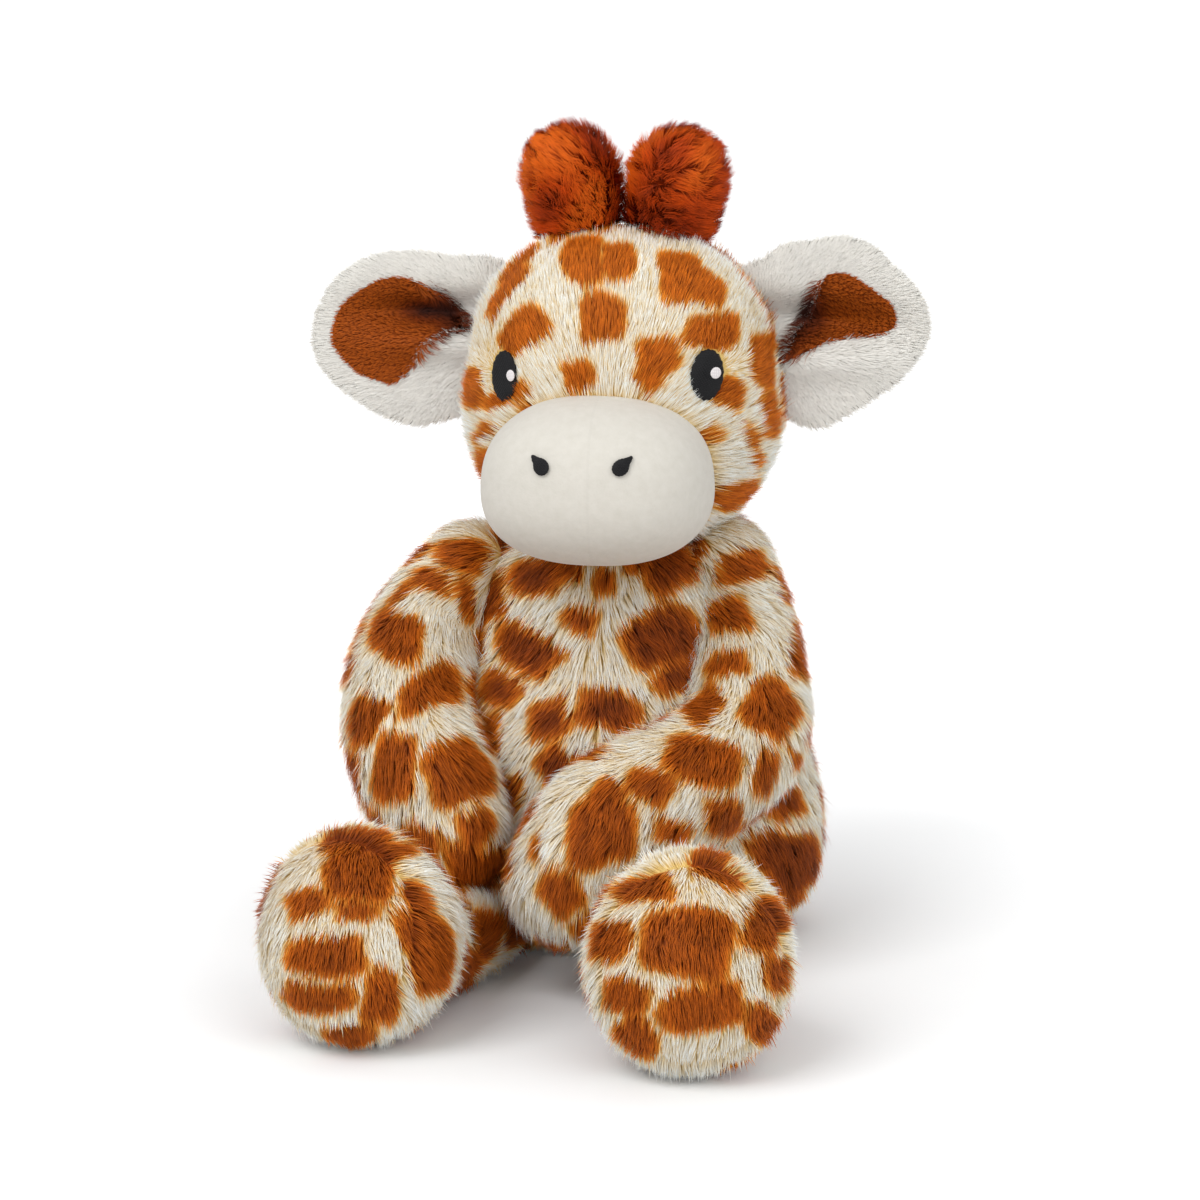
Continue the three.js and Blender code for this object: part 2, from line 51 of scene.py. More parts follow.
# Columns and rows of each skin's grid, the first two for the skins that only places and spots are found on
GRIDS = {
    "seen": (40, 40), "spare": (60, 60), "body": (110, 96), "head": (110, 96), "arm": (90, 110),
    "leg": (100, 110), "sole": (90, 60), "muzzle": (130, 100), "eye": (96, 60), "highlight": (48, 30),
    "nostril": (64, 40), "ear": (110, 90), "lining": (120, 70), "ossicone": (72, 60), "tail": (40, 60),
    "filling": (48, 40), "bag": (60, 40),
}

# Sizes of the sewn forms, as in the frame. A table of shares has rows of [place, width, depth]
BODY_HEIGHT, BODY_HALF_WIDTH, BODY_HALF_DEPTH = 124, 69, 50
BODY_SHARES = [
    (0, .74, .78), (.05, .87, .89), (.14, .97, .97), (.27, 1, 1), (.4, .97, .97), (.53, .89, .9),
    (.65, .79, .8), (.76, .71, .7), (.86, .65, .62), (.94, .57, .52), (1, .45, .42), (1.06, .22, .24),
    (1.1, 0, 0),
]
NECK_RADIUS, NECK_OVERLAP = 25, 14
HEAD_HALVES, HEAD_SHIFT, HEAD_YAW, HEAD_POWER = (48, 44, 48.5), 5.5, math.radians(-3.6), .9
MUZZLE_HALVES, MUZZLE_POWER, MUZZLE_TAPER, MUZZLE_DROP_SHARE = (35, 32, 25.6), .84, .05, .465
ARM_RADIUS = 20.5
ARM_SHARES = [(0, .8, .8), (.2, .94, .94), (.5, 1, 1), (.85, 1.06, 1.06), (1, .92, .92)]
ARM_PATHS = {
    "right": [(-42, -3, 113), (-53, -12, 97), (-57.5, -28, 82.5), (-54.5, -41.3, 69.2), (-47, -52.9, 55.5),
              (-39.5, -61, 44.5)],
    "left": [(36, -3, 117), (43, -13, 93), (45.5, -34, 70.5), (30.4, -56, 59.2), (11, -69.7, 51.3),
             (.9, -78, 40.8), (-1.7, -80.7, 34.5)],
}
LEG_LENGTH, THIGH_RADIUS, FOOT_HALVES, FOOT_SINK = 106, 15.5, (29, 31.5), .5
LEG_SHARES = [(0, 1, 1), (.35, 1, 1), (.6, 1.08, 1.1), (.78, 1.45, 1.5), (1, 1.45, 1.5)]
LEG_SPLAY_SHARES = {"right": (0, .05, .14, .245), "left": (0, .025, .06, .105)}
LEG_REACH_SHARES = {"right": (0, -.28, -.58, -.865), "left": (0, -.32, -.68, -1)}
LEG_RISE_SHARES = (0, 0, .3, 1)
HIP = (29, -36, 15)
TAIL_LENGTH, TAIL_RADIUS, TAIL_ROOT = 42, 4, (0, 50, 42)
TAIL_PATH_SHARES = [(0, 0, 0), (0, .2, -.18), (0, .38, -.45), (0, .46, -.74)]
TAIL_SHARES = [(0, 1, 1), (.5, 1, 1), (.7, 1.5, 1.5), (1, 1.85, 1.85)]
OSSICONE_HEIGHT, OSSICONE_RADIUS, OSSICONE_SPREAD, OSSICONE_LEAN = 35.5, 12, 12.5, .2
OSSICONE_ROOT_SHARE = .92
OSSICONE_SHARES = [(0, 1.14, .9), (.3, 1.24, 1.05), (.65, 1.28, 1.2), (1, 1.3, 1.26)]

# The place the photograph was taken from
VIEW_FROM, VIEW_AT = np.array((129.6, -1072.0, 313.4)), np.array((-1.985, -.244, 103.5))
LENS, SENSOR, PHOTO_SIZE = 106.11, 36, 1200

# Outlines of the ears and their linings, as pixels of the photograph
EARS = {
    "right": [(512, 266), (460, 254), (430, 249), (400, 248), (372, 253), (350, 264), (332, 281), (319, 304),
              (313, 330), (314, 352), (322, 370), (340, 391), (362, 406), (390, 421), (418, 428), (442, 424),
              (474, 412), (500, 388), (510, 345), (512, 300)],
    "left": [(728, 277), (758, 258), (780, 243), (808, 238), (840, 234), (868, 241), (892, 261), (915, 283),
             (928, 308), (930, 334), (920, 359), (900, 383), (874, 401), (846, 418), (814, 430), (786, 421),
             (752, 402), (734, 372), (726, 335), (724, 300)],
}
EAR_MIDDLES = {"right": (402, 336), "left": (836, 330)}
EAR_FUZZ = .8
LININGS = {
    "right": [(333, 335), (335, 321), (341, 307), (352, 296), (366, 287), (381, 280), (396, 277), (411, 279),
              (426, 285), (440, 293), (451, 303), (457, 314), (468, 331), (452, 334), (439, 338), (429, 345),
              (419, 357), (410, 371), (395, 384), (380, 381), (366, 376), (352, 367), (342, 355), (335, 346)],
    "left": [(812, 292), (821, 278), (832, 274), (845, 274), (856, 279), (868, 287), (880, 296), (891, 306),
             (895, 318), (892, 329), (880, 336), (860, 339), (840, 341), (822, 345), (803, 353), (779, 362),
             (785, 344), (797, 328), (804, 310)],
}
LINING_MIDDLES = {"right": (392, 330), "left": (846, 314)}

# The ears' folds: the pixel where a fold ends, its half sizes, its depth and the height of the lip under it
EAR_FOLDS = {"right": ((425, 312), (20, 5), 5.5, 3.0), "left": ((822, 322), (20, 6), 6.5, 3.0)}

# Where the painted shade on the linings is deepest: a pixel and half sizes
LINING_SHADE_PLACES = {"right": ((424, 312), (8, 3.5)), "left": ((806, 311), (5.5, 8.5))}


# Working with points

def unit(vectors):
    """The vectors brought to length 1."""
    return vectors / np.maximum(np.linalg.norm(vectors, axis=-1, keepdims=True), TINY)


def ease(values, low, high):
    """0 up to low, 1 from high on, and 3t2 - 2t3 of the share t in between."""
    t = np.clip((values - low) / (high - low), 0, 1)
    return t * t * (3 - 2 * t)


def bell(values):
    """e to the power of minus the square: 1 at 0 and nearly 0 beyond 2."""
    return np.exp(-values ** 2)


def flattened(vectors, normals):
    """What is left of the vectors when their part along the normals is taken away."""
    return vectors - normals * (vectors * normals).sum(-1, keepdims=True)


def ripple(points, wavelength, seed, waves=5, gain=1.6):
    """A soft unevenness about 0: the mean of a few sine waves that run in seeded directions, times a gain."""
    draw = np.random.default_rng(seed)
    ways = unit(draw.normal(size=(waves, 3))) * (2 * np.pi / wavelength)
    return np.sin(points @ ways.T + draw.uniform(0, 2 * np.pi, waves)).mean(axis=-1) * gain


def ripples(points, wavelength, seed):
    """Three such ripples of their own, as a vector for each point."""
    return np.stack([ripple(points, wavelength, seed + turn) for turn in range(3)], -1)


def yawed(points, angle):
    """The points turned by the angle about the vertical."""
    c, s = math.cos(angle), math.sin(angle)
    x, y, z = np.moveaxis(np.asarray(points, float), -1, 0)
    return np.stack([x * c - y * s, x * s + y * c, z], -1)


def powered(wave, power):
    """A sine or cosine raised to the power with its sign kept; a power below 1 makes a ball boxier."""
    return np.sign(wave) * np.abs(wave) ** power


def joined(first, second, power):
    """The larger of two sizes with a soft passage between them: the root of the sum of their powers."""
    return (np.abs(first) ** power + second ** power) ** (1 / power)


def shares_along(rows, places):
    """The columns of rows of [place, value ...], read at the places on cubics that pass each row at the slope
    between its two neighbours."""
    rows = np.asarray(rows, float)
    knots, values = rows[:, 0], rows[:, 1:]
    places = np.clip(places, knots[0], knots[-1])
    after = np.clip(np.searchsorted(knots, places), 1, len(knots) - 1)
    before = after - 1
    first, last = np.maximum(before - 1, 0), np.minimum(after + 1, len(knots) - 1)
    span = (knots[after] - knots[before])[..., None]
    slope_in = (values[after] - values[first]) / (knots[after] - knots[first])[..., None]
    slope_out = (values[last] - values[before]) / (knots[last] - knots[before])[..., None]
    t = (places - knots[before])[..., None] / span
    return ((2 * t ** 3 - 3 * t ** 2 + 1) * values[before] + (t ** 3 - 2 * t ** 2 + t) * span * slope_in
            + (3 * t ** 2 - 2 * t ** 3) * values[after] + (t ** 3 - t ** 2) * span * slope_out)


def smooth_path(corners, steps=24):
    """Points close together on the Catmull-Rom curve through the corners, its knots apart by the square roots
    of the distances."""
    corners = np.asarray(corners, float)
    ends = 2 * corners[0] - corners[1], 2 * corners[-1] - corners[-2]
    padded = np.vstack([ends[0], corners, ends[1]])
    spans = []
    for a, b, c, d in zip(padded, padded[1:], padded[2:], padded[3:]):
        k1, k2, k3 = np.cumsum(np.sqrt([np.linalg.norm(q - p) for p, q in ((a, b), (b, c), (c, d))]))
        t = np.linspace(k1, k2, steps, endpoint=False)[:, None]
        ab, bc = (a * (k1 - t) + b * t) / k1, (b * (k2 - t) + c * (t - k1)) / (k2 - k1)
        cd = (c * (k3 - t) + d * (t - k2)) / (k3 - k2)
        abc, bcd = (ab * (k2 - t) + bc * t) / k2, (bc * (k3 - t) + cd * (t - k1)) / (k3 - k1)
        spans.append((abc * (k2 - t) + bcd * (t - k1)) / (k2 - k1))
    return np.vstack([*spans, corners[-1:]])


# The photograph's camera

view_ahead = unit(VIEW_AT - VIEW_FROM)
view_right = unit(np.cross(view_ahead, (0, 0, 1)))
view_up = np.cross(view_right, view_ahead)
FOCAL_PIXELS = LENS / SENSOR * PHOTO_SIZE


def in_photo(points):
    """Pixels rightward and upward from the photograph's middle."""
    away = points - VIEW_FROM
    return np.stack([away @ view_right, away @ view_up], -1) * FOCAL_PIXELS / (away @ view_ahead)[..., None]


def rays_through(pixels):
    """The ways from the camera through pixels of the photograph, FOCAL_PIXELS long straight ahead."""
    across, down = np.moveaxis(np.asarray(pixels, float) - PHOTO_SIZE / 2, -1, 0)[..., None]
    return view_ahead * FOCAL_PIXELS + across * view_right - down * view_up


# Forms: each gives the points of its skin by two shares, round it and from end to end

class Ball:
    """A swollen ball: powered cosines and sines of longitude and latitude times the half sizes, its width
    tapering with height, turned about the vertical and set at its centre."""

    def __init__(self, centre, halves, power, yaw=0.0, taper=0.0):
        self.centre, self.halves = np.array(centre, float), np.array(halves, float)
        self.power, self.yaw, self.taper = power, yaw, taper

    def placed(self, local):
        return yawed(local, self.yaw) + self.centre

    def local(self, points):
        return yawed(points - self.centre, -self.yaw)

    def surface(self, around, along):
        longitude, latitude = 2 * np.pi * around, np.pi * (along - .5)
        level = powered(np.cos(latitude), self.power)
        shares = np.stack([level * powered(np.cos(longitude), self.power),
                           level * powered(np.sin(longitude), self.power),
                           powered(np.sin(latitude), self.power)], -1)
        shares[..., 0] *= 1 - self.taper * shares[..., 2]
        return self.placed(shares * self.halves)

    def front(self, x, z, lift):
        """The point of the face side at a sideways and upward distance from the centre, on the ball grown
        by the lift."""
        wide, deep, high = (half + lift for half in self.halves)
        up = np.abs(z / high)
        across = np.abs(x / wide / (1 - self.taper * z / high))
        depth = np.clip(1 - across ** (2 / self.power) - up ** (2 / self.power), 0, 1) ** (self.power / 2)
        return self.placed(np.stack([x, -deep * depth, z], -1))

    def within(self, points, clearance):
        shares = self.local(points) / (self.halves + clearance)
        shares[:, 0] /= 1 - self.taper * np.clip(shares[:, 2], -1, 1)
        return (np.abs(shares) ** (2 / self.power)).sum(1) < 1


class Body:
    """A pear whose half width and depth follow a table by height, joined to a round neck over a flat seat. A
    power draws its rows together towards the top, and from one height on it leans sideways to the neck."""

    neck = np.array((HEAD_SHIFT / 2, 0, BODY_HEIGHT - NECK_RADIUS / 2))
    top = BODY_HEIGHT + NECK_RADIUS / 2
    seat_share, joint_power, row_power, leans_from = .12, 6, 1.7, 60

    def halves(self, z):
        pear = shares_along(BODY_SHARES, z / BODY_HEIGHT) * (BODY_HALF_WIDTH, BODY_HALF_DEPTH)
        ball = np.sqrt(np.clip(NECK_RADIUS ** 2 - (z - self.neck[2]) ** 2, 0, None))[..., None]
        return joined(pear, ball, self.joint_power)

    def surface(self, around, along):
        rise = np.clip((along - self.seat_share) / (1 - self.seat_share), 0, 1)
        z = self.top * (1 - (1 - rise) ** self.row_power)
        angle = 2 * np.pi * around
        halves = self.halves(z) * np.clip(along / self.seat_share, 0, 1)[..., None]
        x = halves[..., 0] * np.cos(angle) + self.neck[0] * ease(z, self.leans_from, self.neck[2])
        return np.stack([x, halves[..., 1] * np.sin(angle), z], -1)

    def within(self, points, clearance):
        shares = points[:, :2] / (self.halves(np.clip(points[:, 2], 0, self.top)) + clearance)
        return ((shares ** 2).sum(1) < 1) & (points[:, 2] < self.top + clearance)


class Limb:
    """An elliptical profile carried square to a smooth path, its size following a table by the share of the
    path, with half a ball at each end; a foot ball may swell its far end."""

    joint_power, coarse = 8, 4

    def __init__(self, corners, radius, shares, foot=None):
        self.line = smooth_path(corners)
        self.run = np.concatenate([[0], np.cumsum(np.linalg.norm(np.diff(self.line, axis=0), axis=1))])
        self.length = self.run[-1]
        self.tangents = unit(np.gradient(self.line, self.run, axis=0))
        self.radius, self.shares, self.foot = radius, shares, foot

    def read(self, table, share):
        return np.stack([np.interp(share * self.length, self.run, column) for column in table.T], -1)

    def halves(self, share):
        sizes = self.radius * shares_along(self.shares, share)
        if self.foot is None:
            return sizes
        away = (1 - share) * self.length / self.foot[0]
        ball = np.sqrt(np.clip(1 - away ** 2, 0, 1))[..., None] * self.foot
        return joined(sizes, ball, self.joint_power)

    def end_radii(self):
        near, far = self.halves(np.array((0.0, 1.0))).mean(axis=-1)
        return near, far if self.foot is None else self.foot[0]

    def surface(self, around, along):
        near, far = self.end_radii()
        arcs = np.array((near, far)) * np.pi / 2
        distance = along * (arcs.sum() + self.length)
        share = np.clip((distance - arcs[0]) / self.length, 0, 1)
        back = np.clip(1 - distance / arcs[0], 0, 1) * np.pi / 2
        out = np.clip((distance - arcs[0] - self.length) / arcs[1], 0, 1) * np.pi / 2
        shift = far * np.sin(out) - near * np.sin(back)
        tangent = unit(self.read(self.tangents, share))
        side = unit(flattened(np.broadcast_to((1.0, 0, 0), tangent.shape), tangent))
        up = np.cross(tangent, side)
        halves = self.halves(share) * (np.cos(out) * np.cos(back))[..., None]
        angle = 2 * np.pi * around
        return (self.read(self.line, share) + tangent * shift[..., None]
                + side * (halves[..., 0] * np.cos(angle))[..., None]
                + up * (halves[..., 1] * np.sin(angle))[..., None])

    def nearest(self, points):
        """The share of the path that lies nearest to each point, and how far off it is."""
        gaps = np.linalg.norm(points[:, None] - self.line[::self.coarse], axis=-1)
        index = gaps.argmin(axis=1)
        return self.run[::self.coarse][index] / self.length, gaps[np.arange(len(points)), index]

    def way(self, points):
        """The path's own direction at the place nearest to each point."""
        return self.read(self.tangents, self.nearest(points)[0])

    def within(self, points, clearance):
        share, gap = self.nearest(points)
        return gap < self.halves(share).mean(axis=-1) + clearance


class Outline:
    """A closed line about a middle point: how far it lies from there, by the share of a turn, on smooth
    cubics through the given points, moved outwards by a margin."""

    def __init__(self, points, middle=(0, 0), margin=0.0):
        away = np.asarray(points, float) - middle
        turns = np.mod(np.arctan2(away[:, 1], away[:, 0]) / (2 * np.pi), 1)
        order = np.argsort(turns)
        rows = np.stack([turns[order], np.linalg.norm(away, axis=1)[order] + margin], -1)
        self.middle = np.asarray(middle, float)
        self.rows = np.concatenate([rows[-2:] - (1, 0), rows, rows[:2] + (1, 0)])

    def reach(self, turn):
        return shares_along(self.rows, np.mod(turn, 1))[..., 0]

    def share(self, x, z):
        """How far out a point lies, 1 being on the line."""
        x, z = x - self.middle[0], z - self.middle[1]
        return np.hypot(x, z) / self.reach(np.arctan2(z, x) / (2 * np.pi))


class Ear:
    """A cupped leaf in the head's upright plane: two domed faces over an outline, bowed back in the middle,
    with a fold on the front that deepens to the head and a lip under it."""

    thickness, depth, cup, dome = 5.6, 4.4, 6.5, .62
    lip_drop, fold_behind = 2.0, .4

    def __init__(self, head, side, outline, fold):
        self.head, self.side, self.outline, self.fold = head, side, outline, fold

    def leaf(self, x, z, share, face, lift):
        """The point at a sideways and upward place in the plane; face is -1 in front and 1 behind."""
        spread = np.clip(share ** 2, 0, 1)
        (fold_x, fold_z), (wide, high), deep, lip = self.fold
        along = bell(np.minimum((fold_x - x) * self.side, 0) / wide)
        over = (z - fold_z) / high
        fold = along * (deep * bell(over) - lip * bell(over + self.lip_drop)) * (1 - spread ** 3)
        y = self.depth + face * (self.thickness * (1 - spread) ** self.dome + lift) + self.cup * (1 - spread)
        return self.head.placed(np.stack([x, y + np.where(face < 0, 1, self.fold_behind) * fold, z], -1))

    def surface(self, around, along):
        ring = np.sin(np.pi * along)
        reach = self.outline.reach(around) * ring
        x = self.outline.middle[0] + reach * np.cos(2 * np.pi * around)
        z = self.outline.middle[1] + reach * np.sin(2 * np.pi * around)
        return self.leaf(x, z, ring, np.where(along < .5, 1.0, -1.0), 0.0)

    def front(self, x, z, lift):
        """The point of the front face at a sideways and upward place."""
        return self.leaf(x, z, self.outline.share(x, z), -1.0, lift)


class Sole:
    """The front of a foot as a dish: the far end of the leg's skin from the seam to its tip, drawn in towards
    the middle of the foot by one share for its outer face and another for its inner face."""

    seam_turn, outer_share, inner_share = .3, .86, .8

    def __init__(self, leg):
        self.leg = leg
        near, far = leg.end_radii()
        whole = (near + far) * np.pi / 2 + leg.length
        self.span = (1 - self.seam_turn) * far * np.pi / 2 / whole
        self.middle, self.ahead = leg.line[-1], leg.tangents[-1]

    def surface(self, around, along):
        tip = np.abs(along - .5) * 2
        points = self.leg.surface(around, 1 - self.span * (1 - tip)) - self.middle
        return self.middle + points * np.where(along < .5, self.inner_share, self.outer_share)[..., None]

    def covers(self, points):
        """Which points lie in front of the sole's seam."""
        return (points - self.middle) @ self.ahead > math.sin(self.seam_turn * math.pi / 2) * self.leg.foot[0]


class Patch:
    """A raised patch laid on the front of a form: rings of its outline from the middle of the underside to
    the rim and back over a domed top. layers are the heights of the underside and the rim over the form and
    the dome's rise; threads are the height, pitch and tilt of its ridges; jags are how uneven its rim is, by
    two waves of [waves in a turn, share, phase]."""

    under_share = .3
    jag_waves = (17, 1, 0), (29, .7, 1)

    def __init__(self, form, centre, halves, layers, outline=None, threads=(0, 1, 0), jags=.02):
        self.form, self.centre, self.halves, self.outline = form, centre, halves, outline
        self.layers, self.threads, self.jags = layers, threads, jags

    def surface(self, around, along):
        base, edge, rise = self.layers
        ridge, pitch, tilt = self.threads
        under = along < self.under_share
        ring = np.where(under, along / self.under_share, (1 - along) / (1 - self.under_share))
        angle = 2 * np.pi * around
        jags = sum(share * np.sin(angle * waves + phase) for waves, share, phase in self.jag_waves)
        reach = (1.0 if self.outline is None else self.outline.reach(around)) * (1 + self.jags * jags) * ring
        x, z = self.halves[0] * reach * np.cos(angle), self.halves[1] * reach * np.sin(angle)
        threads = np.sin((x * math.cos(tilt) + z * math.sin(tilt)) * 2 * np.pi / pitch)
        top = edge + rise * np.sqrt(np.clip(1 - ring ** 2, 0, 1)) + ridge * threads
        return self.form.front(self.centre[0] + x, self.centre[1] + z, np.where(under, base, top))


def leg_path(name):
    """The leg's line along the floor, rising to the middle of the foot."""
    splay, reach = np.array(LEG_SPLAY_SHARES[name]), np.array(LEG_REACH_SHARES[name])
    rise = (FOOT_HALVES[1] - FOOT_SINK - HIP[2]) * np.array(LEG_RISE_SHARES)
    aside, ahead = SIDES[name] * (HIP[0] + splay * LEG_LENGTH), HIP[1] + reach * LEG_LENGTH
    return np.stack([aside, ahead, HIP[2] + rise], -1)


body = Body()
head = Ball((HEAD_SHIFT, 0, Body.neck[2] + NECK_RADIUS + HEAD_HALVES[2] - NECK_OVERLAP),
            HEAD_HALVES, HEAD_POWER, HEAD_YAW)
MUZZLE_PLACE = np.array((0, -HEAD_HALVES[1], -HEAD_HALVES[2] * MUZZLE_DROP_SHARE))
muzzle = Ball(head.placed(MUZZLE_PLACE), MUZZLE_HALVES, MUZZLE_POWER, HEAD_YAW, MUZZLE_TAPER)


def ossicone_path(side):
    """The short line from the crown to the middle of the ossicone's round top."""
    root = np.array((side * OSSICONE_SPREAD, 0, HEAD_HALVES[2] * OSSICONE_ROOT_SHARE))
    reach = OSSICONE_HEIGHT - OSSICONE_RADIUS * OSSICONE_SHARES[-1][1]
    tip = root + (side * reach * OSSICONE_LEAN, 0, reach)
    return head.placed(np.array([root, (root + tip) / 2, tip]))


def in_ear_plane(pixels):
    """Where the photograph's rays through the pixels cross the head's upright plane of the ears: [x, z]."""
    start, ways = head.local(VIEW_FROM), yawed(rays_through(pixels), -HEAD_YAW)
    return (start + ways * ((Ear.depth - start[1]) / ways[..., 1])[..., None])[..., ::2]


tail_path = np.array(TAIL_ROOT) + np.array(TAIL_PATH_SHARES) * TAIL_LENGTH
forms = {"body": body, "head": head, "muzzle": muzzle, "tail": Limb(tail_path, TAIL_RADIUS, TAIL_SHARES)}
for name, side in SIDES.items():
    forms[f"arm_{name}"] = Limb(ARM_PATHS[name], ARM_RADIUS, ARM_SHARES)
    forms[f"leg_{name}"] = Limb(leg_path(name), THIGH_RADIUS, LEG_SHARES, FOOT_HALVES)
    forms[f"ossicone_{name}"] = Limb(ossicone_path(side), OSSICONE_RADIUS, OSSICONE_SHARES)
    middle, fold = in_ear_plane([EAR_MIDDLES[name], EAR_FOLDS[name][0]])
    outline = Outline(in_ear_plane(EARS[name]), middle, -EAR_FUZZ)
    forms[f"ear_{name}"] = Ear(head, side, outline, (fold, *EAR_FOLDS[name][1:]))


# Skins: the points, normals and faces of a form on a grid

class Skin:
    """A form's grid, closed round and drawn to a point at each end, moved inwards along its normals and kept
    above the floor."""

    def __init__(self, form, grid, inset=0.0, floor=0.0):
        columns, rows = GRIDS[grid]
        around, along = np.arange(columns) / columns, np.linspace(0, 1, rows + 1)
        between = form.surface(*np.meshgrid(around, along[1:-1]))
        poles = form.surface(np.zeros(2), along[[0, -1]])
        points = np.concatenate([poles[:1], between.reshape(-1, 3), poles[1:]])
        index = 1 + np.arange(columns * (rows - 1)).reshape(rows - 1, columns)
        right = np.roll(index, -1, axis=1)
        ends = np.zeros(columns, int), np.full(columns, len(points) - 1)
        self.quads = np.stack([index[:-1], right[:-1], right[1:], index[1:]], -1).reshape(-1, 4)
        self.caps = np.concatenate([np.stack([ends[0], right[0], index[0]], -1),
                                    np.stack([ends[1], index[-1], right[-1]], -1)])
        self.triangles = np.concatenate([self.quads[:, [0, 1, 2]], self.quads[:, [0, 2, 3]], self.caps])
        self.points = points
        self.face_out()
        self.points = points - self.find_normals() * inset
        self.points[:, 2] = np.maximum(self.points[:, 2], floor)
        self.normals = self.find_normals()

    def crossed(self):
        a, b, c = np.moveaxis(self.points[self.triangles], 1, 0)
        return np.cross(b - a, c - a)

    def face_out(self):
        """Turns all the faces over if they enclose a negative volume."""
        volume = (self.points[self.triangles[:, 0]] * self.crossed()).sum()
        if volume < 0:
            self.quads, self.caps = self.quads[:, ::-1], self.caps[:, ::-1]
            self.triangles = self.triangles[:, ::-1]

    def find_normals(self):
        """At each point, the sum of the crossed edges of its triangles, brought to length 1."""
        crossed, total = self.crossed(), np.zeros_like(self.points)
        for corner in range(3):
            np.add.at(total, self.triangles[:, corner], crossed)
        return unit(total)

    def sow(self, per_area, draw):
        """Roots spread evenly over the area, with the skin's normals there: each takes a triangle by the
        running sum of areas and a place in it by two shares folded at their diagonal."""
        areas = np.linalg.norm(self.crossed(), axis=1) / 2
        count = int(areas.sum() * per_area)
        steps = (np.arange(count) + draw.random(count)) / count * areas.sum()
        triangle = self.triangles[np.minimum(np.searchsorted(np.cumsum(areas), steps), len(areas) - 1)]
        shares = draw.random((count, 2))
        shares = np.where(shares.sum(1, keepdims=True) > 1, 1 - shares, shares)
        weights = np.stack([1 - shares.sum(1), shares[:, 0], shares[:, 1]], -1)[..., None]
        return (self.points[triangle] * weights).sum(1), unit((self.normals[triangle] * weights).sum(1))

    def roughened(self, height, wavelength, seed):
        """The skin with its points moved out and in along its normals by a ripple."""
        self.points += self.normals * (height * ripple(self.points, wavelength, seed))[:, None]
        return self

    def tree(self):
        return BVHTree.FromPolygons(self.points.tolist(), self.triangles.tolist())


trees = {name: Skin(form, "seen").tree() for name, form in forms.items()}


def place_seen(name, x, y):
    """The point and normal of a form that the photograph shows at a pixel, or nearest to it."""
    ray = unit(rays_through((x, y)))
    place, normal, *_ = trees[name].ray_cast(Vector(VIEW_FROM), Vector(ray))
    if place is None:
        middle = forms[name].surface(np.zeros(1), np.full(1, .5))[0]
        beside = VIEW_FROM + ray * ((middle - VIEW_FROM) @ ray)
        place, normal, *_ = trees[name].find_nearest(Vector(beside))
    return np.array(place), np.array(normal)


# The spots

class Spot:
    """One brown spot: a rounded block in the plane that touches the form at its middle. Its shape is measured
    in units of the photograph where that shows it, or in millimetres elsewhere."""

    squareness, least_slant = 3.8, .38
    wavers = (2, .05), (3, .06), (5, .04)  # waves in a turn and their shares of the radius

    def __init__(self, place, normal, halves, angle, scale, draw):
        self.place, self.normal = place, normal
        side = unit(np.cross((0, 0, 1), normal) + (TINY, 0, 0))
        self.axes = np.stack([side, np.cross(normal, side)])
        self.scale = np.eye(2) if scale is None else scale(self)
        self.halves, self.angle = np.array(halves, float), math.radians(angle)
        self.size = math.sqrt(halves[0] * halves[1] / abs(np.linalg.det(self.scale)))
        self.phases = draw.uniform(0, 2 * np.pi, len(self.wavers))

    def slanted(self):
        """Photograph pixels for a millimetre along each axis, a very slanting view taken as a milder one."""
        ends = in_photo(self.place + np.vstack([np.zeros(3), self.axes]))
        u, sizes, v = np.linalg.svd((ends[1:] - ends[0]).T)
        return u @ np.diag(np.maximum(sizes, sizes[0] * self.least_slant)) @ v

    def depth(self, points):
        """Millimetres inside the outline, negative outside: 1 less the blocky radius (the powered sum of the
        two shares, its corners wavering), times the mean half size."""
        away = points - self.place
        reach = np.linalg.norm(away, axis=1)
        flat = away @ self.axes.T
        flat = flat * (reach / np.maximum(np.linalg.norm(flat, axis=1), TINY))[:, None] @ self.scale.T
        c, s = math.cos(self.angle), math.sin(self.angle)
        a = (flat[:, 0] * c + flat[:, 1] * s) / self.halves[0]
        b = (flat[:, 1] * c - flat[:, 0] * s) / self.halves[1]
        turn = np.arctan2(b, a)
        waver = 1 + sum(share * np.sin(waves * turn + phase)
                        for (waves, share), phase in zip(self.wavers, self.phases))
        return (1 - joined(a, np.abs(b), self.squareness) / waver) * self.size
